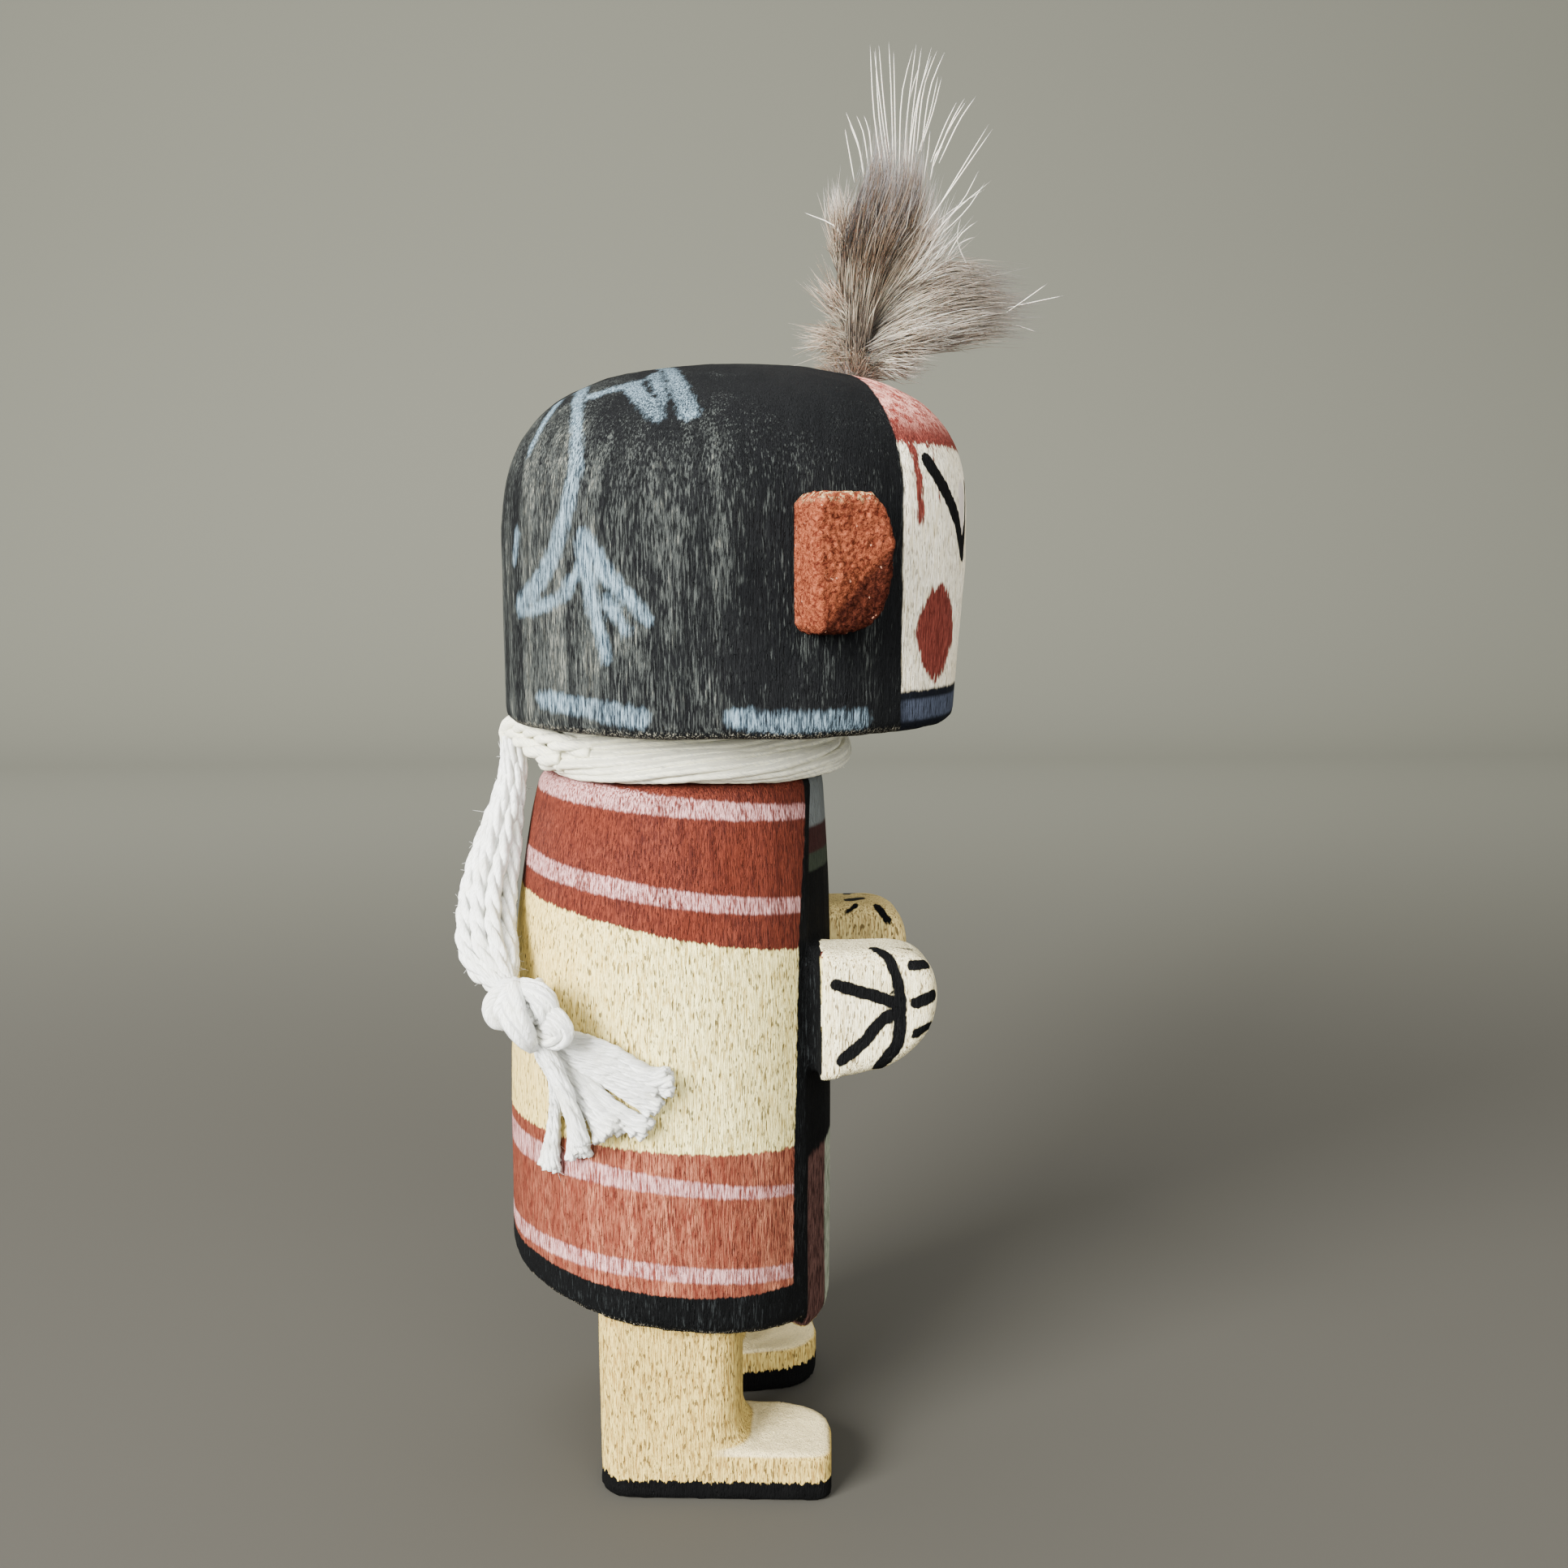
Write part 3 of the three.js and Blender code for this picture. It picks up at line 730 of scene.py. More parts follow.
# Shaft and foot plate, turned outward about the leg's own middle, with a fillet at the instep. The
# corner radii of toes and heel run from the outside of the foot in
def legShells(side):
    inner, outer = figure["legInner"], figure["legOuter"]
    low, high = (-outer, -inner) if side < 0 else (inner, outer)
    toes, heels = (1.3, 3.8)[::-side], (2.6, 1.8)[::-side]
    sole = roundedOutline(figure["heel"], low, figure["toe"], high, (heels[0],) + toes + (heels[1],))
    foot = plateRings(sole, 0, figure["footHeight"], 0.3)
    foot[..., 2] -= 0.035 * np.maximum(0, foot[..., 0] - 6) * (foot[..., 2] > 2)      # toes a little thinner
    outline = roundedOutline(figure["heel"], low, figure["shin"], high, (2.6,) * 4)
    z = np.linspace(1.5, 17.5, 60)
    leg = np.concatenate([np.broadcast_to(outline, (60,) + outline.shape),
                          np.broadcast_to(z[:, None, None], (60, len(outline), 1))], -1)
    fillet = np.clip((6.4 - z) / 2.2, 0, 1)[:, None] ** 2
    leg[..., 0] += 0.9 * fillet * np.clip((leg[..., 0] - 1) / 4.4, 0, 1)
    middle, turn = side * (inner + outer) / 2, np.radians(side * figure["footSplay"])
    shells = []
    for rings in (foot, leg):
        x, y = rings[..., 0], rings[..., 1] - middle
        shells.append(shell(np.stack([x * np.cos(turn) - y * np.sin(turn),
                                      middle + x * np.sin(turn) + y * np.cos(turn), rings[..., 2]], -1)))
    return shells


# Cubic curve through a and d, drawn towards b and c
def bezier(a, b, c, d, steps=24):
    t = np.linspace(0, 1, steps, endpoint=False)[:, None]
    a, b, c, d = (np.array(p, float) for p in (a, b, c, d))
    return a * (1 - t) ** 3 + 3 * b * t * (1 - t) ** 2 + 3 * c * t ** 2 * (1 - t) + d * t ** 3


# Mitt: its outline in x and z, carried across the hand with rounded edges, and a narrower wrist
def handShells(side):
    back, fingers, top = (11.4, 33.9), (20.5, 40.6), (17.0, 44.3)
    outline = np.concatenate([
        [back], bezier((16.4, 35.0), (18.8, 36.0), (20.5, 38.0), fingers),
        bezier(fingers, (20.5, 42.8), (19.5, 44.2), top), [top, (back[0], top[1])]])
    width, y = figure["handWidth"], side * figure["handY"]
    rings = plateRings(resampledLoop(outline, 180), 0, width, 1.4)
    rings = np.stack([rings[..., 0], y + width / 2 - rings[..., 2], rings[..., 1]], -1)
    half, y = figure["wristWidth"] / 2, side * figure["wristY"]
    wrist = plateRings(roundedOutline(8.2, y - half, 14.2, y + half, (0.6,) * 4), 34.6, 43.0, 0.5)
    return [shell(rings), shell(wrist)]


# Plain drum that joins head and robe inside the wrap
def neckRings():
    angle = np.linspace(0, 2 * np.pi, 120, endpoint=False)
    radius = figure["neckRadius"]
    ring = np.stack([neckX + radius * np.cos(angle), radius * np.sin(angle), 0 * angle], -1)
    return np.stack([ring + (0, 0, figure["neckLow"]), ring + (0, 0, figure["neckHigh"])])


# One closed skin round the joined shells: a voxel remesh and a light smoothing, both applied
def remeshed(name, points, faces, voxel, smooth):
    rough = makePiece(name + "Rough", points, faces, bpy.data.materials.new(name + "Rough"))
    remesh = rough.modifiers.new("remesh", "REMESH")
    remesh.mode, remesh.voxel_size = "VOXEL", voxel * mm
    soft = rough.modifiers.new("soft", "SMOOTH")
    soft.factor, soft.iterations = 0.5, smooth
    graph = bpy.context.evaluated_depsgraph_get()
    mesh = bpy.data.meshes.new_from_object(rough.evaluated_get(graph))
    mesh.name = name
    mesh.materials.clear()
    bpy.data.materials.remove(rough.data.materials[0])
    bpy.data.objects.remove(rough)
    return mesh


# Vertex places in mm from the robe's axis, and vertex normals
def meshPoints(mesh):
    place, normal = np.empty(len(mesh.vertices) * 3), np.empty(len(mesh.vertices) * 3)
    mesh.vertices.foreach_get("co", place)
    mesh.vertex_normals.foreach_get("vector", normal)
    return (place.reshape(-1, 3) - (axisX, 0, 0)) / mm, normal.reshape(-1, 3)


paint = {
    "brush": 0.70,                    # width of the blue strokes against the photo's full spread
    # mm, and degrees off the front
    "cheekAngle": 35.5, "cheekHeight": 68.5, "cheekHalfWidth": 3.2, "cheekHalfHeight": 3.7,
    "browHeight": 82.0, "hoodFront": 11.55,
    # hood
    "hoodDark": tone(40, 43, 46), "hoodGrey": tone(96, 101, 97), "hoodBare": tone(143, 144, 131),
    "hoodPore": tone(24, 26, 29), "hoodRim": tone(176, 170, 150),
    "blueDark": tone(94, 120, 138), "blueLight": tone(154, 180, 194),
    # face
    "faceDark": tone(230, 217, 180), "faceLight": tone(255, 248, 226),
    "faceStain": tone(226, 206, 160), "facePore": tone(150, 128, 96),
    "cheekDark": tone(152, 64, 54), "cheekLight": tone(196, 98, 84),
    # the brow's tones hold a painted highlight, pink over red
    "litBrowDark": tone(196, 80, 68), "litBrowLight": tone(255, 184, 166),
    "eye": tone(26, 27, 29), "eyeShade": tone(226, 214, 202),
    "chinDark": tone(44, 52, 68), "chinLight": tone(112, 122, 144),
    # cape
    "redDark": tone(126, 52, 40), "redLight": tone(170, 84, 62),
    "redPatch": tone(156, 72, 50), "redStreak": tone(112, 44, 36), "redPore": tone(92, 38, 32),
    "lowRedDark": tone(156, 72, 55), "lowRedLight": tone(216, 138, 104),
    "lowRedBand": tone(158, 72, 52), "lowRedBack": tone(152, 68, 48),
    "creamDark": tone(206, 181, 104), "creamLight": tone(246, 233, 162),
    "creamBack": tone(230, 196, 104), "creamPore": tone(118, 94, 46),
    "pinkDark": tone(176, 98, 90), "pinkLight": tone(228, 178, 174),
    "black": tone(27, 30, 31), "scratch": tone(70, 75, 75), "hemWood": tone(212, 200, 170),
    # dress
    "dressDark": tone(22, 23, 24), "dressLight": tone(60, 62, 62),
    "skirtDark": tone(92, 52, 46), "skirtLight": tone(146, 104, 94),
    "stripDark": tone(128, 138, 112), "stripLight": tone(186, 190, 168),
    "bodiceLow": tone(88, 98, 80), "bodiceMiddle": tone(104, 62, 58), "bodiceTop": tone(134, 140, 138),
    # hands, legs and feet
    "skinDark": tone(212, 196, 146), "skinLight": tone(240, 231, 190),
    "skinStreak": tone(204, 182, 128), "skinPore": tone(134, 106, 60),
    "legDark": tone(188, 150, 76), "legLight": tone(228, 200, 114), "legStreak": tone(176, 138, 76),
    # the foot's top tone is a painted highlight
    "handStroke": tone(28, 30, 32), "footTopHighlight": tone(240, 226, 180),
    "soleEdge": tone(26, 26, 27), "soleUnder": tone(24, 24, 25),
}

blueStrokes = [
    # photo pixels along the stroke, then its width in mm at both ends
    ([(712, 497), (710, 540), (709, 579), (694, 641), (675, 699), (642, 746)], 1.3, 2.4),
    ([(724, 490), (764, 477), (784, 472)], 1.0, 1.3),
    ([(779, 477), (795, 494), (809, 512)], 1.9, 1.5),
    ([(806, 462), (813, 480), (816, 495)], 1.3, 0.9),
    ([(824, 455), (836, 476), (849, 507)], 1.3, 2.0),
    ([(719, 477), (712, 492)], 1.6, 1.6),
    ([(729, 467), (775, 457), (824, 454)], 0.6, 0.7),
    ([(687, 497), (668, 525), (652, 557)], 1.4, 0.8),
    ([(637, 659), (634, 691)], 1.2, 0.8),
    ([(719, 666), (748, 710), (799, 763)], 2.3, 0.9),
    ([(719, 666), (729, 740), (747, 811)], 2.3, 1.0),
    ([(749, 741), (772, 778)], 1.2, 0.8),
    ([(715, 700), (690, 735), (650, 753)], 1.4, 1.0),
    ([(668, 862), (720, 872), (788, 886)], 1.7, 2.1),
    ([(908, 886), (980, 891), (1062, 886)], 2.0, 2.0),
]

handStrokes = [
    ([(1075, 1168), (1093, 1178), (1101, 1193), (1106, 1209), (1109, 1231), (1109, 1256), (1108, 1276),
      (1103, 1292), (1093, 1304), (1083, 1314)], 0.8, 1.15),
    ([(1031, 1214), (1055, 1221), (1075, 1226), (1098, 1234)], 1.05, 1.0),
    ([(1036, 1307), (1063, 1286), (1080, 1264), (1099, 1249)], 1.0, 1.0),
    ([(1124, 1189), (1146, 1188)], 0.9, 0.85),
    ([(1129, 1236), (1155, 1224)], 1.0, 1.0),
    ([(1128, 1274), (1150, 1261)], 0.85, 0.8),
    ([(1098, 1167), (1123, 1170)], 0.3, 0.3),
]

farHandStrokes = [
    ([(1045, 1109), (1060, 1107)], 0.9, 1.0),
    ([(1041, 1126), (1055, 1115)], 0.4, 0.5),
    ([(1081, 1117), (1095, 1135)], 0.8, 0.7),
]

eyeStrokes = [
    # degrees off the front and height in mm along the stroke, then its width in mm at both ends
    ([(41, 80.9), (36, 79.4), (26, 76.8), (19.5, 74.4)], 1.25, 1.6),
    ([(19.5, 74.4), (15.5, 76.6), (14.5, 79.6)], 1.4, 0.8),
]

eyeShadeStrokes = [([(20, 76.2), (21, 78.6)], 0.9, 2.2)]

drips = [
    ([(46, 83.5), (45.5, 80.0), (45.2, 76.7)], 1.0, 0.9),
    ([(37, 83), (37, 78)], 0.55, 0.35),
    ([(12, 83), (12, 79.5)], 0.5, 0.4),
]

pinkBands = [
    # height and slope of the lower edge, the same of the upper edge, and the bow of both
    (55.05, 0.088, 56.50, 0.120, 0),
    (48.37, 0.144, 49.71, 0.157, 0),
    (26.34, 0.137, 27.62, 0.187, 0.006),
    (19.45, 0.130, 20.67, 0.137, 0.006),
]


# Signed distance in mm to a brush stroke: distance to its line less half its width, least over the parts
def strokeDistance(points, line, first, last):
    line = np.asarray(line, float)
    best = np.full(len(points), 1e3)
    for k in range(len(line) - 1):
        a, step = line[k], line[k + 1] - line[k]
        t = np.clip((points - a) @ step / (step @ step), 0, 1)
        width = first + (last - first) * (k + t) / (len(line) - 1)
        best = np.minimum(best, np.linalg.norm(points - a - t[:, None] * step, axis=1) - width / 2)
    return best


# Where the ray through a photo pixel meets the figure, in mm
def throughPixel(tree, pixel):
    hit = tree.ray_cast(Vector(toFrame(photo["eye"])), Vector(photoRays(pixel)).normalized())[0]
    return None if hit is None else (np.array(hit) - (axisX, 0, 0)) / mm


# Least signed distance to a set of strokes, each laid on the surface through its photo pixels
def strokesOn(tree, points, strokes, wide=1.0):
    best = np.full(len(points), 1e3)
    for pixels, first, last in strokes:
        spots = [throughPixel(tree, pixel) for pixel in resampled(pixels, 3 * len(pixels))]
        spots = [spot for spot in spots if spot is not None]
        if len(spots) > 1:
            best = np.minimum(best, strokeDistance(points, spots, first * wide, last * wide))
    return best


# The same for strokes on the right side of the head, whose radius up the dome is R (1 - q^3)^(1/3)
def strokesOnHead(points, strokes):
    best = np.full(len(points), 1e3)
    for spots, first, last in strokes:
        offFront, height = np.array(spots, float).T
        turn = np.radians(offFront)
        q = np.maximum(0, 1 - (figure["headTop"] - height) / figure["domeFront"])
        radius = figure["headRadius"] * (1 - q ** 3) ** (1 / 3)
        line = np.stack([figure["headX"] + radius * np.cos(turn), -radius * np.sin(turn), height], -1)
        best = np.minimum(best, strokeDistance(points, line, first, last))
    return best


# Signed distances in mm, negative inside a mark: what the paint shader cuts its colours by
def paintValues(mesh, points, normals):
    tree = BVHTree.FromPolygons([v.co for v in mesh.vertices], [p.vertices for p in mesh.polygons])
    x, y, z = points.T
    mirrored = np.stack([x, -np.abs(y), z], -1)             # the left side takes the strokes of the right
    values = {}

    def onHead(field):
        return np.where(z > 60.5, field, 50.0)

    values["blueMark"] = onHead(strokesOn(tree, mirrored, blueStrokes, paint["brush"]))
    hands = np.minimum(strokesOn(tree, mirrored, handStrokes), strokesOn(tree, points, farHandStrokes))
    handArea = (x > 11.5) & (z > 32) & (z < 46)
    values["blackMark"] = np.where(handArea, hands, onHead(strokesOnHead(mirrored, eyeStrokes)))
    values["eyeMark"] = onHead(strokesOnHead(mirrored, eyeShadeStrokes))
    # a cheek is the rounded diamond |a|^1.5 + |b|^1.5 = 1
    angle = np.degrees(np.arctan2(np.abs(y), x - figure["headX"]))
    across = np.radians(angle - paint["cheekAngle"]) * figure["headRadius"] / paint["cheekHalfWidth"]
    upward = (z - paint["cheekHeight"]) / paint["cheekHalfHeight"]
    cheek = 3 * ((np.abs(across) ** 1.5 + np.abs(upward) ** 1.5) ** (1 / 1.5) - 1)
    red = np.minimum(cheek, strokesOnHead(mirrored, drips))
    values["redMark"] = onHead(np.minimum(red, paint["browHeight"] - z))
    # plane of the hood's front edge, drawn back over the crown
    values["hoodEdge"] = x - (figure["headX"] + paint["hoodFront"] - 0.030 * np.maximum(0, z - 78) ** 2)
    # the open front narrows towards the shoulders by 10 s^6 degrees
    off = np.degrees(np.arctan2(np.abs(y), x))
    s = np.clip((z - figure["hemHeight"]) / (figure["robeTop"] - figure["hemHeight"]), 0, 1)
    values["capeEdge"] = np.radians(off - figure["capeEdge"] + 10 * s ** 6) * robeRadius
    slopedHem = figure["hemHeight"] - figure["hemSlope"] * x
    hem = np.where(off < figure["capeEdge"] + 3, figure["dressHem"], slopedHem)
    under = (normals[:, 2] < -0.55) & (np.abs(z - hem) < 0.5) & (np.hypot(x, y) < robeRadius - 0.5)
    values["aboveHem"] = np.where(under, -0.6, z - hem)
    radius, shift = robeAt(z)
    values["handPart"] = np.where(handArea, np.hypot(x - shift, y) - radius - 0.15, -5.0)
    return values


# The figure's paint. Most colours have a dark and a light tone that the streaks of the grain mix.
class FigurePaint(Bench):

    def __init__(self, tree):
        super().__init__(tree)
        place = self.millimetres()
        axes = self.put("ShaderNodeSeparateXYZ")
        self.feed(axes.inputs[0], place)
        self.x, self.y, self.z = axes.outputs
        broadPlace = self.scaled(place, (1, 1, 1), (31, 17, 3))
        shortPlace = self.scaled(place, (1, 1, 1), (5, 71, 23))
        fine = self.group(grainGroup, Vector=place, Width=0.055, Length=0.6)
        self.streak, self.pore = fine["Streak"], fine["Pore"]
        self.broadStreak = self.group(grainGroup, Vector=broadPlace, Width=0.30, Length=5.0)["Streak"]
        self.shortPore = self.group(grainGroup, Vector=shortPlace, Width=0.10, Length=0.42)["Pore"]
        self.patch = self.noise(place, 0.16)
        self.bands = self.noise(self.scaled(place, (0.45, 0.45, 0.03)), roughness=0.6)
        self.teeth = self.noise(self.scaled(place, (3.4, 3.4, 0.8)), roughness=0.6)
        wicks = self.noise(self.scaled(place, (3.6, 3.6, 0.5)), roughness=0.65)
        self.wick = self.maths("SUBTRACT", wicks, 0.5)
        self.wobble = self.maths("SUBTRACT", self.noise(place, 1.3), 0.5)

    def grained(self, colour, low, high):
        return self.mix(self.window(self.streak, low, high), paint[colour + "Dark"], paint[colour + "Light"])

    # 1 inside a mark and 0 outside, with an edge that wobbles and wicks along the grain
    def inside(self, mark, soft, ragged, wicked):
        moved = self.maths("MULTIPLY_ADD", self.wobble, ragged, self.value(mark))
        return self.window(self.maths("MULTIPLY_ADD", self.wick, wicked, moved), soft, -soft)

    # How far a point is above the line z = height - slope x - bow x^2, moved a little along the grain
    def above(self, height, slope, bow=0.0, ragged=0.9):
        line = self.maths("MULTIPLY_ADD", self.x, slope, self.z)
        line = self.maths("MULTIPLY_ADD", self.maths("MULTIPLY", self.x, self.x), bow, line)
        return self.maths("MULTIPLY_ADD", self.wick, ragged, self.maths("SUBTRACT", line, height))

    # 1 where z is within `full` of the middle, 0 beyond `end`
    def level(self, middle, end, full):
        off = self.maths("ABSOLUTE", self.maths("SUBTRACT", self.z, middle))
        return self.window(off, end, full)

    # Near black, worn to grey and then to bare wood, most at the back, with dry blue strokes over it
    def hood(self):
        maths, window, mix, streak = self.maths, self.window, self.mix, self.streak
        wearAndHighlight = maths("MULTIPLY_ADD", maths("SUBTRACT", self.bands, 0.5), 0.5, streak)
        wearAndHighlight = maths("MULTIPLY_ADD", maths("SUBTRACT", self.patch, 0.5), 0.25, wearAndHighlight)
        wearAndHighlight = maths("ADD", wearAndHighlight, window(self.x, 15, -9, -0.14, 0.02))
        wearAndHighlight = maths("ADD", wearAndHighlight, window(self.z, 80, 86, 0.0, -0.10))
        hood = mix(window(wearAndHighlight, 0.42, 0.56), paint["hoodDark"], paint["hoodGrey"])
        hood = mix(window(wearAndHighlight, 0.60, 0.74), hood, paint["hoodBare"])
        hood = mix(window(self.broadStreak, 0.48, 0.60, 0.0, 0.60), hood, paint["hoodDark"])
        hood = mix(maths("MULTIPLY", self.pore, 0.6), hood, paint["hoodPore"])
        dry = window(maths("MULTIPLY_ADD", self.patch, 0.4, streak), 0.50, 0.86, 0.15, 0.82)
        stroke = maths("MULTIPLY", self.inside("blueMark", 0.32, 0.7, 0.8), dry)
        hood = mix(stroke, hood, self.grained("blue", 0.34, 0.60))
        rim = maths("MULTIPLY", window(self.z, 62.0, 61.6), window(streak, 0.54, 0.62))
        return mix(rim, hood, paint["hoodRim"])

    # Cream with red brow and cheeks, the brow pink towards its top as a painted highlight, black eyes and a
    # dark chin
    def face(self):
        maths, window, mix = self.maths, self.window, self.mix
        face = self.grained("face", 0.35, 0.62)
        face = mix(window(self.patch, 0.45, 0.7, 0.0, 0.3), face, paint["faceStain"])
        face = mix(maths("MULTIPLY", self.shortPore, 0.6), face, paint["facePore"])
        smeared = window(maths("ADD", self.wobble, self.streak), 0.32, 0.66)
        litBrow = mix(smeared, paint["litBrowDark"], paint["litBrowLight"])
        # painted highlight: from z 82.4 to 85.2 the red fringe turns to the pinker brow tones
        red = mix(window(self.z, 82.4, 85.2), self.grained("cheek", 0.38, 0.64), litBrow)
        face = mix(self.inside("redMark", 0.16, 0.5, 1.7), face, red)
        face = mix(self.inside("eyeMark", 0.3, 0.6, 0.0), face, paint["eyeShade"])
        face = mix(self.inside("blackMark", 0.06, 0.2, 0.3), face, paint["eye"])
        panel = maths("MULTIPLY", self.level(62.9, 0.95, 0.6), window(self.x, 16.0, 18.2))
        panel = maths("MULTIPLY", panel, window(self.streak, 0.3, 0.6))
        chin = window(maths("MULTIPLY_ADD", self.wick, 0.5, self.z), 64.5, 64.2)
        return mix(chin, face, mix(panel, paint["chinDark"], paint["chinLight"]))

    # Bands of red, pink and cream that drop towards the front, and black at the hem and the front edge
    def cape(self):
        maths, window, mix, above = self.maths, self.window, self.mix, self.above
        highRed = self.grained("red", 0.36, 0.66)
        highRed = mix(window(self.patch, 0.35, 0.7, 0.0, 0.5), highRed, paint["redPatch"])
        highRed = mix(window(self.broadStreak, 0.52, 0.68, 0.0, 0.55), highRed, paint["redStreak"])
        lowRed = self.grained("lowRed", 0.36, 0.66)
        lowRed = mix(window(self.bands, 0.43, 0.61, 0.0, 0.60), lowRed, paint["lowRedBand"])
        lowRed = mix(window(self.x, -5, -12, 0.0, 0.7), lowRed, paint["lowRedBack"])
        red = mix(window(self.z, 29, 33), lowRed, highRed)
        red = mix(maths("MULTIPLY", self.pore, 0.5), red, paint["redPore"])
        cream = self.grained("cream", 0.34, 0.6)
        cream = mix(window(self.x, 2, -12, 0.0, 0.65), cream, paint["creamBack"])
        cream = mix(maths("MULTIPLY", self.shortPore, 0.8), cream, paint["creamPore"])
        cape = mix(window(above(46.05, 0.195), 0.1, -0.1), red, cream)
        cape = mix(window(above(29.6, 0.09, 0.004), 0.1, -0.1), cape, red)
        pink = self.grained("pink", 0.36, 0.62)
        gaps = window(maths("MULTIPLY_ADD", self.bands, 0.8, self.streak), 0.66, 1.0, 0.25, 0.95)
        for low, lowSlope, high, highSlope, bow in pinkBands:
            band = maths("MULTIPLY", window(above(low, lowSlope, bow, 0.5), -0.14, 0.14),
                         window(above(high, highSlope, bow, 0.5), 0.14, -0.14))
            cape = mix(maths("MULTIPLY", band, gaps), cape, pink)
        scratches = window(maths("MULTIPLY_ADD", self.bands, 0.35, self.streak), 0.74, 0.86)
        black = mix(scratches, paint["black"], paint["scratch"])
        cape = mix(window(above(18.2, 0.119, ragged=0.5), 0.08, -0.08), cape, black)
        stripeWidth = maths("MULTIPLY_ADD", self.z, -0.024, 2.6)
        fromEdge = maths("MULTIPLY_ADD", self.wobble, 0.5, self.value("capeEdge"))
        return mix(window(maths("SUBTRACT", fromEdge, stripeWidth), 0.1, -0.1), cape, black)

    # What shows in the open cape: a banded bodice, black, then brown-red with a pale green strip
    def dress(self):
        maths, window, mix = self.maths, self.window, self.mix
        strip = window(maths("ABSOLUTE", self.y), 4.6, 4.2)
        skirt = mix(strip, self.grained("skirt", 0.38, 0.62), self.grained("strip", 0.4, 0.6))
        skirtTop = window(maths("MULTIPLY_ADD", self.wick, 1.2, self.z), 27.2, 26.6)
        dress = mix(skirtTop, self.grained("dress", 0.52, 0.75), skirt)
        bodice = mix(window(self.z, 51.3, 51.0), paint["bodiceMiddle"], paint["bodiceLow"])
        bodice = mix(window(self.z, 53.0, 53.4), bodice, paint["bodiceTop"])
        return mix(window(self.z, 49.6, 49.9), dress, bodice)

    # Thin cream over open grain, golder on the legs, and golder on the far hand as painted shade
    def skin(self):
        maths, window, mix = self.maths, self.window, self.mix
        # the legs' own golden tone, and painted shade on the far hand in the same tones
        legGoldAndFarHandShade = maths("MAXIMUM", window(self.z, 24, 20), window(self.y, 2, 4, 0.0, 0.8))
        skin = mix(legGoldAndFarHandShade, self.grained("skin", 0.34, 0.6), self.grained("leg", 0.34, 0.6))
        skin = mix(maths("MULTIPLY", self.shortPore, 0.85), skin, paint["skinPore"])
        streaks = mix(legGoldAndFarHandShade, paint["skinStreak"], paint["legStreak"])
        return mix(window(self.broadStreak, 0.52, 0.72, 0.0, 0.4), skin, streaks)

    def hand(self, skin):
        return self.mix(self.inside("blackMark", 0.07, 0.3, 0.2), skin, paint["handStroke"])

    # Black soles with a toothed upper edge, and a painted highlight on the foot's top face in front of the
    # leg
    def feet(self, skin):
        maths, window, mix = self.maths, self.window, self.mix
        soleTop = maths("MULTIPLY_ADD", self.teeth, 1.3, window(self.y, -2, 4, 1.05, 1.4))
        feet = mix(window(maths("SUBTRACT", self.z, soleTop), 0.06, -0.06), skin, paint["soleEdge"])
        feet = mix(window(self.z, 0.5, 0.3), feet, paint["soleUnder"])
        # painted highlight on the flat top face of the foot
        wearAndHighlight = maths("MULTIPLY", self.level(4.1, 0.4, 0.15), window(self.x, 2.5, 5.0, 0.0, 0.6))
        return mix(wearAndHighlight, feet, paint["footTopHighlight"])


def makePaintedWood():
    material, bench, shader = newMaterial("paintedWood", 0.85, 0.08, FigurePaint)
    maths, window, mix = bench.maths, bench.window, bench.mix
    hoodEdge = maths("MULTIPLY_ADD", bench.wick, 0.3, bench.value("hoodEdge"))
    head = mix(window(hoodEdge, -0.05, 0.12), bench.hood(), bench.face())
    robe = mix(window(bench.value("capeEdge"), 0.05, -0.05), bench.cape(), bench.dress())
    aboveHem = bench.value("aboveHem")
    wornHem = maths("MULTIPLY", window(aboveHem, 0.55, 0.1), window(bench.streak, 0.56, 0.64))
    robe = mix(wornHem, robe, paint["hemWood"])
    skin = bench.skin()
    hem = maths("MULTIPLY_ADD", bench.wick, 0.3, aboveHem)
    body = mix(window(hem, 0.0, 0.12), bench.feet(skin), robe)
    body = mix(window(bench.value("handPart"), 0.0, 0.25), body, bench.hand(skin))
    bench.feed(shader.inputs["Base Color"], mix(window(bench.z, 59.0, 60.5), body, head))
    wearAndHighlight = maths("ADD", bench.streak, bench.patch)
    bench.feed(shader.inputs["Roughness"], window(wearAndHighlight, 0.8, 1.2, 0.66, 0.92))
    relief = maths("MULTIPLY_ADD", bench.pore, -0.7, bench.streak)
    relief = maths("MULTIPLY_ADD", bench.broadStreak, 1.4, relief)
    relief = maths("MULTIPLY_ADD", bench.shortPore, -0.5, relief)
    bench.feed(shader.inputs["Normal"], bench.bump(relief, 0.0002, 0.8))
    return material


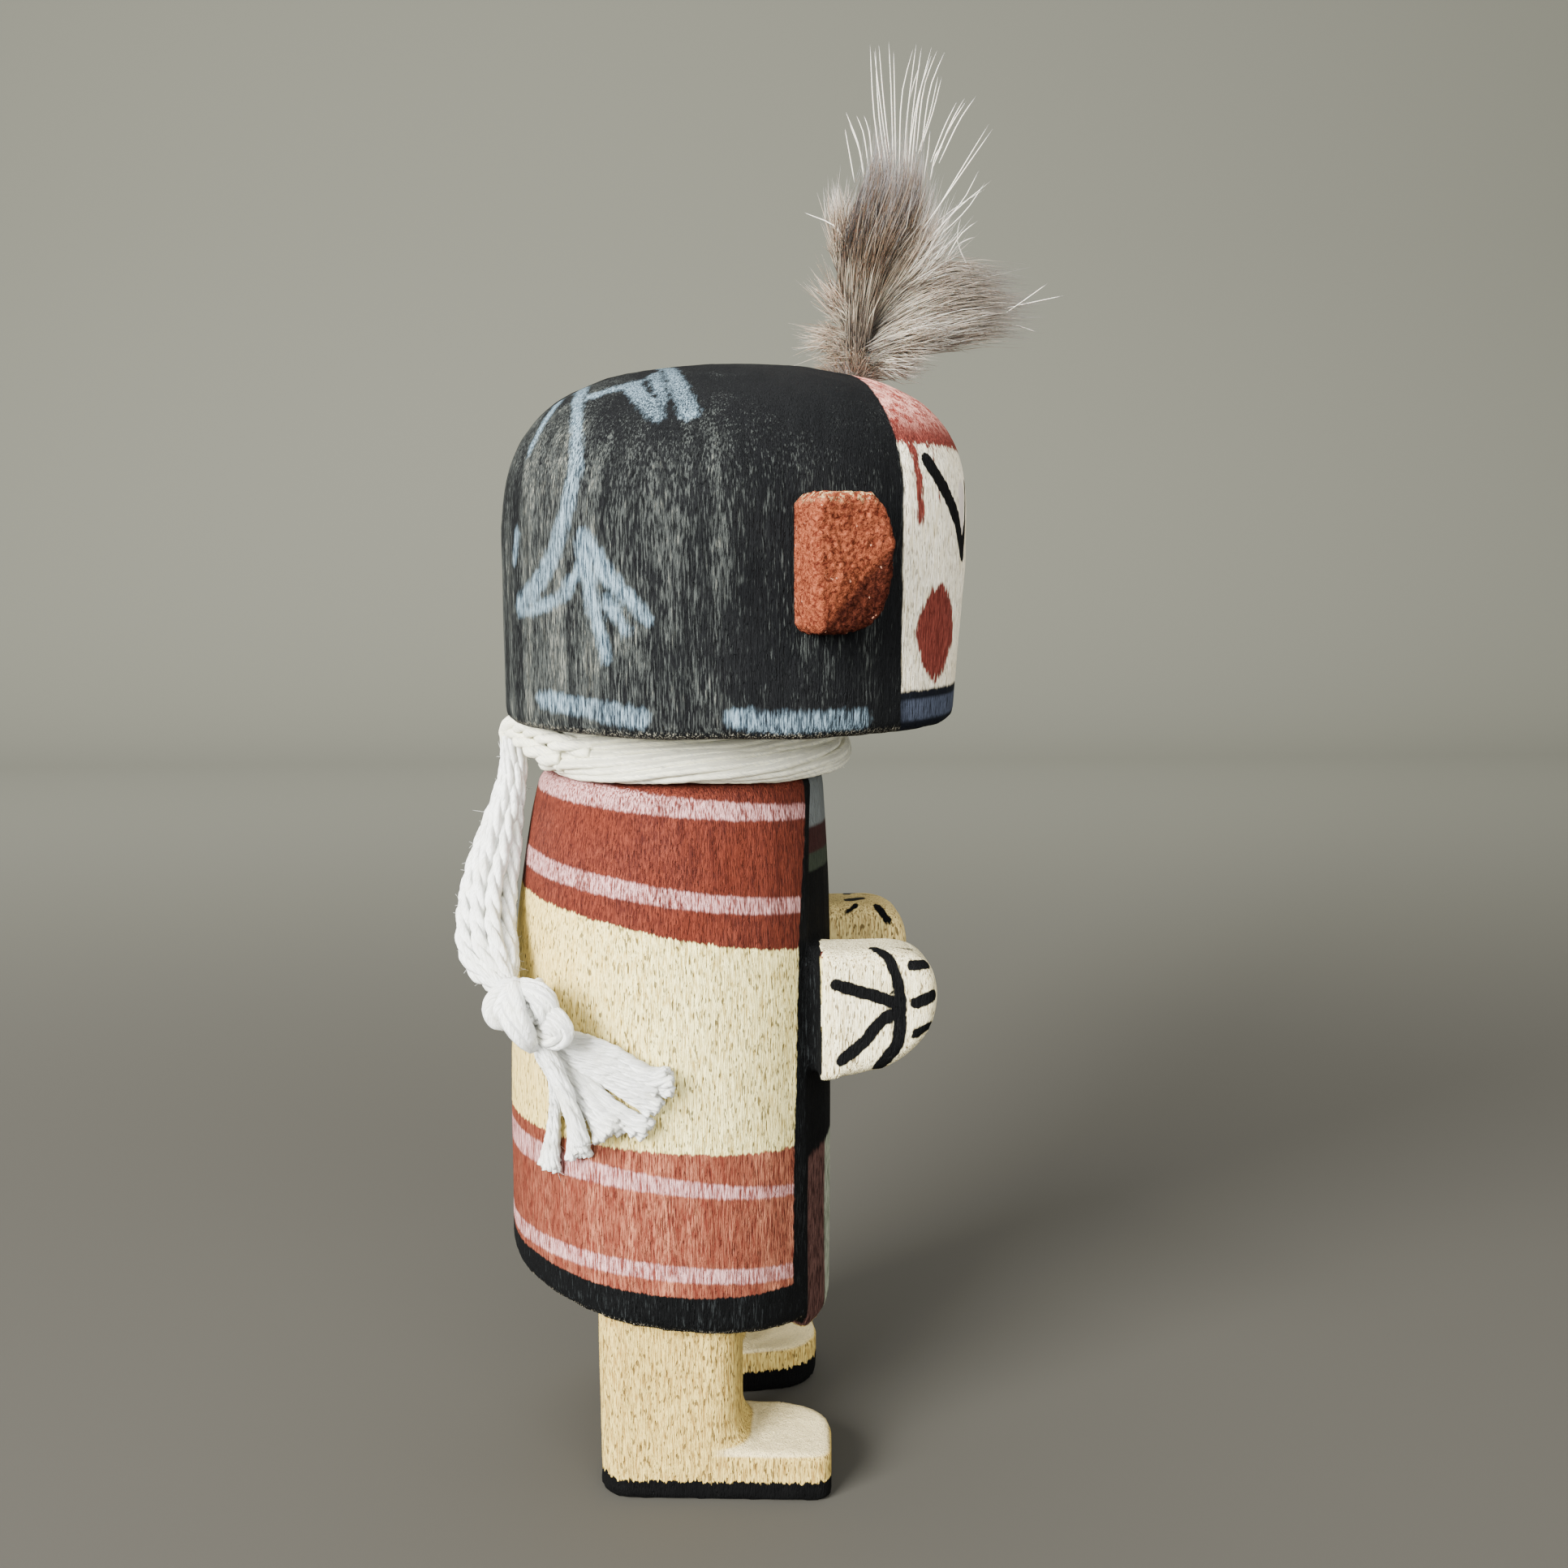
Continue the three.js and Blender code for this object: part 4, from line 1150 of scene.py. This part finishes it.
def makeFigure():
    shells = [shell(headRings()), shell(robeRings()), shell(neckRings())]
    for side in (-1, 1):
        shells += legShells(side) + handShells(side)
    points, faces = joined(shells)
    mesh = remeshed("carved_figure", points, faces, figure["voxel"], 1)
    points, normals = meshPoints(mesh)
    # knife work: long shallow facets along the grain, and finer upright grooves
    facets = softNoise(points * (1, 1, 0.35), 4.5, 11) + 0.5 * softNoise(points * (1, 1, 0.3), 2.0, 12)
    grooves = softNoise(points * (1, 1, 0.12), 0.7, 13)
    depth = (figure["facet"] * facets + figure["groove"] * grooves) * smoothStep(points[:, 2], 0.3, 1.5)
    points = points + normals * depth[:, None]
    mesh.vertices.foreach_set("co", toFrame(points).ravel())
    mesh.update()
    values = paintValues(mesh, points, normals)
    standFor(finished("carved_figure_painted", mesh, makePaintedWood(), values), "carved_figure")


makeFigure()
print("figure carved and painted")


ear = {
    "angle": 69.0,                    # degrees off the front
    # mm
    "middle": 73.5, "width": 6.2, "height": 9.5, "thickness": 3.2, "inside": 1.6,
    "voxel": 0.15, "nap": 0.10,       # nap of the torn end grain
    "dark": tone(138, 58, 38), "light": tone(204, 112, 76),
    # painted shade: the tones of the lower facet
    "shadedLowDark": tone(76, 32, 27), "shadedLowLight": tone(132, 62, 47),
    "chip": tone(214, 186, 136), "bit": tone(224, 160, 130), "stain": tone(120, 50, 38),
}


# Torn end grain as noise; the lower facet is darker with painted shade, the top rim chipped to bare wood
def makeEarMaterial():
    material, bench, shader = newMaterial("earPaint", 0.95, 0.05)
    place = bench.millimetres()
    maths, window, mix, noise = bench.maths, bench.window, bench.mix, bench.noise
    nap = noise(bench.scaled(place, (3.0, 3.0, 3.4)), 1.0, 4, 0.7, 0.6)
    lower = mix(window(nap, 0.36, 0.66), ear["shadedLowDark"], ear["shadedLowLight"])
    colour = mix(window(nap, 0.34, 0.66), ear["dark"], ear["light"])
    # painted shade on the lower facet, below the crease
    colour = mix(window(bench.value("shadedFacet"), -0.3, 0.4, 0.0, 0.85), colour, lower)
    chips = window(noise(place, 2.6, 3, 0.7), 0.50, 0.60)
    colour = mix(maths("MULTIPLY", window(bench.value("topRim"), 0.9, 0.1), chips), colour, ear["chip"])
    bits = window(noise(bench.scaled(place, (1, 1, 1), (9, 4, 2)), 2.3, 1, 0.5), 0.73, 0.77)
    colour = mix(bits, colour, ear["bit"])
    colour = mix(window(noise(place, 0.5), 0.55, 0.75, 0.0, 0.35), colour, ear["stain"])
    bench.feed(shader.inputs["Base Color"], colour)
    bench.feed(shader.inputs["Normal"], bench.bump(nap, 0.0004, 0.9))
    return material


earPaint = makeEarMaterial()


# Block glued to the head: its outline faces outward, straight behind and bowed before. The lower front
# part is cut back in a second facet, below a crease that runs down to the back
def makeEar(side, name):
    half, tall = ear["width"] / 2, ear["height"] / 2
    outline = np.array([
        (-half, -tall + 0.6), (-half + 0.5, -tall), (-0.1 * half, -tall), (0.5 * half, -0.9 * tall),
        (0.85 * half, -0.7 * tall), (half, -0.35 * tall), (0.97 * half, 0.3 * tall),
        (0.75 * half, 0.75 * tall), (0.4 * half, tall), (-half + 0.7, tall), (-half, tall - 0.7)])
    rings = plateRings(resampledLoop(outline, 150), -ear["inside"], ear["thickness"], 0.5)
    across, upward, outward = rings[..., 0], rings[..., 1], rings[..., 2]

    def belowCrease(across, upward):
        return 0.62 * across - 0.60 * (upward + 1.6)

    outward = outward - 0.42 * np.maximum(0, belowCrease(across, upward)) * (outward > 1)
    turn = np.radians(ear["angle"])
    out = np.array([np.cos(turn), -np.sin(turn), 0])
    ahead = np.array([np.sin(turn), np.cos(turn), 0])
    head = np.array([figure["headX"], 0, 0])
    points = head + (figure["headRadius"] + outward[..., None]) * out + across[..., None] * ahead \
        + (upward[..., None] + ear["middle"]) * np.array([0, 0, 1])
    points, faces = shell(points)
    mesh = remeshed(name, points, faces, ear["voxel"], 2)
    points, normals = meshPoints(mesh)
    nap = 0.7 * softNoise(points, 0.34, 41) + 0.8 * softNoise(points, 0.2, 42)
    nap = nap + 0.3 * softNoise(points, 1.4, 43)
    reach = (points - head) @ out
    moved = points + normals * (ear["nap"] * nap * smoothStep(reach, 17.5, 19))[:, None]
    across, upward = (points - head) @ ahead, points[:, 2] - ear["middle"]
    values = {"shadedFacet": belowCrease(across, upward), "topRim": tall - upward}
    if side > 0:
        moved = moved * (1, -1, 1)
        mesh.flip_normals()
    mesh.vertices.foreach_set("co", toFrame(moved).ravel())
    mesh.update()
    standFor(finished(name + "_rough", mesh, earPaint, values), name)


makeEar(-1, "ear_right")
makeEar(1, "ear_left")
print("ears made")


fur = {
    "hairs": 1.66,                    # times the numbers in the list of locks
    "down": 700,                      # short hairs round the root
    "thickness": 0.031,               # mm, half a hair across
    "guardThickness": 0.050,
    "dark": tone(70, 52, 31), "brown": tone(114, 89, 59),
    "beige": tone(180, 160, 137), "white": tone(226, 216, 200),
    # the hairs' beige base, darkened as painted shade low in the tuft, and painted shade at the roots
    "shadedLowDark": tone(120, 100, 78), "shadedLowLight": tone(204, 190, 166), "root": tone(94, 74, 58),
}

locks = [
    # photo pixels along its middle, half widths in mm, hairs, paleness, y in mm, spread of the ends
    ([(1050, 451), (1050, 395), (1056, 339), (1070, 283), (1087, 227), (1092, 187), (1088, 148)],
     [0.6, 0.9, 1.2, 2.1, 2.35, 1.7, 0.9, 0.3], 760, 0.02, -0.8, 0.5),
    ([(1056, 423), (1073, 323), (1101, 297), (1120, 241), (1126, 199), (1118, 156)],
     [0.8, 1.3, 1.7, 1.8, 1.3, 0.5], 620, 0.16, 0.3, 0.5),
    ([(1061, 409), (1092, 353), (1126, 305), (1146, 263), (1149, 227)],
     [0.8, 1.4, 1.7, 1.3, 0.5], 460, 0.50, 0.0, 0.5),
    ([(1047, 353), (1042, 311), (1036, 269), (1033, 227)], [0.7, 1.1, 1.2, 0.6], 230, 0.46, 0.4, 0.5),
    ([(1064, 418), (1098, 376), (1137, 350), (1182, 342), (1227, 347), (1269, 346)],
     [0.8, 1.3, 1.6, 1.4, 1.0, 0.4], 430, 0.62, 0.6, 0.5),
    ([(1067, 423), (1115, 392), (1171, 373), (1227, 371), (1283, 376)],
     [0.9, 1.6, 1.9, 1.6, 0.6], 520, 0.54, -0.3, 0.5),
    ([(1067, 432), (1120, 415), (1177, 404), (1233, 398), (1278, 404)],
     [0.9, 1.5, 1.6, 1.1, 0.4], 430, 0.60, -0.6, 0.5),
    ([(1064, 437), (1092, 440), (1120, 446), (1149, 443)], [0.8, 1.3, 1.3, 0.6], 300, 0.74, -0.8, 0.5),
    ([(1092, 367), (1137, 325), (1163, 297), (1177, 269)], [0.8, 1.3, 1.2, 0.5], 110, 0.80, -0.4, 0.8),
    ([(1056, 418), (1040, 386), (1019, 361), (1002, 333)], [0.6, 0.9, 0.8, 0.3], 110, 0.44, -0.5, 0.6),
    ([(1056, 430), (1040, 421), (1017, 415), (988, 420)], [0.6, 1.0, 0.9, 0.4], 130, 0.46, -0.5, 0.6),
    ([(1056, 444), (1040, 438), (1022, 437), (1008, 440)], [0.6, 0.9, 0.8, 0.4], 120, 0.48, -0.6, 0.5),
    ([(1060, 440), (1064, 380), (1078, 320), (1098, 270), (1108, 220), (1104, 170)],
     [0.9, 1.4, 2.0, 2.3, 1.7, 0.5], 420, 0.22, 2.4, 0.5),
    ([(1067, 428), (1112, 396), (1168, 378), (1224, 374), (1276, 382)],
     [0.9, 1.6, 1.9, 1.5, 0.5], 420, 0.72, 2.5, 0.6),
    ([(1066, 436), (1110, 418), (1160, 410), (1205, 408)], [0.9, 1.5, 1.4, 0.5], 240, 0.68, -2.4, 0.6),
    ([(1058, 436), (1062, 376), (1076, 310), (1096, 250), (1104, 205)],
     [0.8, 1.2, 1.6, 1.6, 0.5], 230, 0.22, -2.2, 0.5),
]

guardHairs = [
    # photo pixels along each long hair; the last two are dark
    [(1090, 230), (1077, 142), (1072, 54)], [(1098, 220), (1086, 137), (1077, 62)],
    [(1101, 215), (1098, 112), (1095, 51)], [(1112, 225), (1118, 142), (1129, 53)],
    [(1108, 215), (1111, 120), (1125, 60)], [(1122, 220), (1131, 128), (1148, 57)],
    [(1129, 187), (1138, 110), (1155, 61)], [(1131, 190), (1146, 140), (1156, 93)],
    [(1147, 200), (1163, 158), (1179, 125)], [(1150, 205), (1171, 153), (1189, 120)],
    [(1140, 283), (1177, 221), (1219, 152)], [(1148, 290), (1185, 249), (1206, 210)],
    [(1140, 300), (1180, 257), (1222, 222)], [(1160, 330), (1183, 290), (1205, 272)],
    [(1065, 215), (1057, 176), (1042, 138)], [(1070, 205), (1064, 165), (1055, 142)],
    [(1053, 225), (1047, 191), (1041, 158)], [(1046, 313), (1030, 280), (991, 262)],
    [(1146, 222), (1153, 190), (1163, 180)], [(1136, 230), (1143, 190), (1146, 160)],
    [(1240, 385), (1262, 370), (1291, 349)], [(1238, 380), (1270, 373), (1312, 364)],
    [(1232, 398), (1256, 402), (1279, 410)], [(1205, 352), (1180, 300), (1184, 268)],
    [(1089, 214), (1070, 277), (1049, 311)], [(1085, 137), (1098, 210), (1096, 280)],
]


# Colour runs from root to tip of each hair, and each hair has its own shade and paleness; low in the tuft the
# beige base gets painted shade, most at the roots
def makeFurMaterial():
    material, bench, shader = newMaterial("fur", 0.6, 0.15)
    maths, window, mix = bench.maths, bench.window, bench.mix
    share, shade, pale = bench.value("share"), bench.value("shade"), bench.value("pale")
    light = maths("MULTIPLY_ADD", shade, 0.26, maths("SUBTRACT", pale, 0.13))
    light = maths("MULTIPLY_ADD", window(share, 0.3, 1.0), 0.07, light)
    colour = mix(window(light, 0.0, 0.35), fur["dark"], fur["brown"])
    colour = mix(window(light, 0.3, 0.7), colour, fur["beige"])
    colour = mix(window(light, 0.65, 1.0), colour, fur["white"])
    # painted shade over the hairs' own base low in the tuft, then darker painted shade at the roots
    shadedLowLight = maths("MULTIPLY_ADD", pale, 0.6, maths("MULTIPLY", shade, 0.6))
    colour = mix(window(share, 0.52, 0.30), colour, mix(shadedLowLight, fur["shadedLowDark"], fur["shadedLowLight"]))
    colour = mix(window(share, 0.28, 0.0, 0.0, 0.75), colour, fur["root"])
    bench.feed(shader.inputs["Base Color"], colour)
    shader.inputs["Sheen Weight"].default_value = 0.2
    shader.inputs["Subsurface Weight"].default_value = 0.1
    shader.inputs["Subsurface Scale"].default_value = 0.0006
    return material


# Hairs of one lock. A hair keeps its own place (cos, sin) x radius in the oval round the lock's middle
# line, scaled by the half width there. It is drawn towards the middle of its clump, by up to 0.42 at the
# tip, and stops at its own share of the length.
def lockHairs(pixels, widths, count, paleness, y, loose, rng):
    count = int(count * fur["hairs"])
    clumps = count // 24
    grid = np.linspace(0, 1, 40)
    middle = atDepth(resampled(pixels, 40), y * np.linspace(0.45, 1, 40))

    def disc(number):
        turn, reach = rng.uniform(0, 2 * np.pi, number), np.sqrt(rng.uniform(0, 1, number))
        return turn, np.stack([reach * np.cos(turn), reach * np.sin(turn)], -1)

    clump = rng.integers(0, clumps, count)
    clumpSpot = disc(clumps)[1][clump]
    turn, spot = disc(count)
    clumpEnd = rng.uniform(0.62, 1.0, clumps)[clump]
    end = np.clip(clumpEnd * rng.uniform(0.72, 1.06, count), 0.3, 1.04)
    start = rng.uniform(0, 0.28, count)
    t = np.linspace(0, 1, 4)
    share = start[:, None] + (end - start)[:, None] * t
    place = np.stack([np.interp(share, grid, middle[:, k]) for k in range(3)], -1)
    along = unit(np.stack([np.interp(share, grid, np.gradient(middle[:, k])) for k in range(3)], -1))
    across = unit(np.cross(along, (0.0, 1.0, 0.0)))
    width = np.interp(share, np.linspace(0, 1, len(widths)), widths)[..., None]
    drawn = 0.08 + 0.34 * t[None, :, None] ** 1.2
    held = spot[:, None] * (1 - drawn) + clumpSpot[:, None] * drawn
    wave = 0.05 * np.sin(9 * share + turn[:, None] * 3)[..., None]
    place = place + (held[..., :1] * width + wave) * across
    place = place + (held[..., 1:] * (0.9 * width + 0.35) + wave) * (0.0, 1.0, 0.0)
    stray = (0.9 * loose * t ** 1.7 + 0.2 * t)[None, :, None]
    place = place + rng.normal(size=(count, 1, 3)) * stray
    radii = fur["thickness"] * np.array([0.9, 1.05, 0.8, 0])
    points, faces, hairShare, _, hair = tubes(place, radii, 3, True)
    pale = paleness + 0.10 * rng.normal(size=clumps)[clump] + 0.06 * rng.normal(size=count)
    pale = np.clip(pale, 0, 1)
    shade = rng.uniform(0, 1, count)
    return points, faces, {"share": hairShare * end[hair], "shade": shade[hair], "pale": pale[hair]}


# Short hairs round the root, spread over the crown: arcs r (cos, sin) that rise by sin
def downHairs(rng):
    count = fur["down"]
    turn, reach = rng.uniform(0, 2 * np.pi, (count, 1)), rng.uniform(0.2, 1, (count, 1))
    t = np.linspace(0, 1, 5)
    rise = 0.6 + 3.8 * rng.uniform(0, 1, (count, 1)) * (1.25 - reach)
    line = np.stack([14.7 + (0.6 + 2.9 * reach * t) * np.cos(turn),
                     (0.9 + 2.9 * reach * t) * np.sin(turn),
                     87.2 + rise * np.sin(1.9 * t)], -1)
    line = line + rng.normal(size=(count, 1, 3)) * 0.5 * (t ** 2)[None, :, None]
    radii = fur["thickness"] * np.array([1, 1, 0.9, 0.7, 0])
    points, faces, share, _, hair = tubes(line, radii, 3, True)
    shade = rng.uniform(0, 1, count)
    return points, faces, {"share": 0.45 + 0.5 * share, "shade": shade[hair], "pale": 0.36 + 0 * share}


# Long guard hairs, each in an upright plane of its own; the first 16 have a second hair beside them,
# which leans away along its length
def guardStrands(rng):
    lines, pale = [], []
    for k, pixels in enumerate(guardHairs):
        for copy in range(1 + (k < 16)):
            depth = rng.uniform(-2.6, 2.6) if copy else k % 4 - 1.5
            beside = rng.normal(size=2) * 6
            lean = np.array([[0], [0.5], [1]]) * rng.uniform(0, 8, 2) * (1, 2)
            moved = resampled(np.array(pixels) + copy * (beside + lean), 7)
            lines.append(atDepth(moved, np.linspace(0.6, 1.0, 7) * depth))
            pale.append(1.0 if k < len(guardHairs) - 2 else 0.25)
    radii = fur["guardThickness"] * np.array([0.7, 0.9, 1, 1, 0.9, 0.7, 0])
    points, faces, share, _, hair = tubes(np.stack(lines), radii, 3, True)
    return points, faces, {"share": 0.6 + 0.4 * share, "shade": 0.5 + 0 * share, "pale": np.array(pale)[hair]}


def makeFur():
    rng = np.random.default_rng(7)
    parts = [lockHairs(*lock, rng) for lock in locks] + [downHairs(rng), guardStrands(rng)]
    points, faces, values = merged(parts)
    standFor(makePiece("fur_tuft_hairs", points, faces, makeFurMaterial(), values), "fur_tuft")


makeFur()
print("fur made")


studio = {
    "floor": tone(106, 103, 93),
    "wall": tone(154, 154, 139),
    "world": 0.75,
    "lights": {
        # place in m, power in W, side in m
        "windowLeft": ((-0.42, -0.42, 0.30), 27.0, 0.34),
        "windowFront": ((0.20, -0.55, 0.22), 5.0, 0.40),
        "topSoft": ((0.0, 0.05, 0.55), 3.0, 0.40),
    },
}


# Pale sheet that lies flat and sweeps up behind: a line in y and z carried along x
def makeStudio():
    bend = np.linspace(0, np.pi / 2, 16)
    y = np.concatenate([[-0.6], 0.45 + 0.25 * np.sin(bend), [0.7]])
    z = np.concatenate([[0.0], 0.25 * (1 - np.cos(bend)), [1.2]])
    points = [(x, *spot) for x in (-1.2, 1.2) for spot in zip(y, z)]
    k = np.arange(len(y) - 1)
    faces = np.stack([k, k + len(y), k + len(y) + 1, k + 1], -1)
    mesh = bpy.data.meshes.new("backdrop")
    mesh.from_pydata(points, [], faces.tolist())
    material, bench, shader = newMaterial("backdropPaper", 0.9, 0.2)
    axes = bench.put("ShaderNodeSeparateXYZ")
    bench.feed(axes.inputs[0], bench.millimetres())
    sweep = bench.window(axes.outputs["Y"], 40, 460)
    bench.feed(shader.inputs["Base Color"], bench.mix(sweep, studio["floor"], studio["wall"]))
    finished("backdrop", mesh, material, {})


def makeLight(name, place, power, size):
    light = bpy.data.lights.new(name, "AREA")
    light.energy, light.size = power, size
    lamp = linked(name, light)
    lamp.location = place
    lamp.rotation_euler = (Vector((0, 0, 0.05)) - Vector(place)).to_track_quat("-Z", "Y").to_euler()


def makeWorld():
    world = bpy.data.worlds.new("studio")
    world.use_nodes = True
    background = world.node_tree.nodes["Background"]
    background.inputs["Color"].default_value = (1, 0.99, 0.97, 1)
    background.inputs["Strength"].default_value = studio["world"]
    bpy.context.scene.world = world


makeStudio()
makeWorld()
for name, (place, power, size) in studio["lights"].items():
    makeLight(name, place, power, size)
print("studio lit")
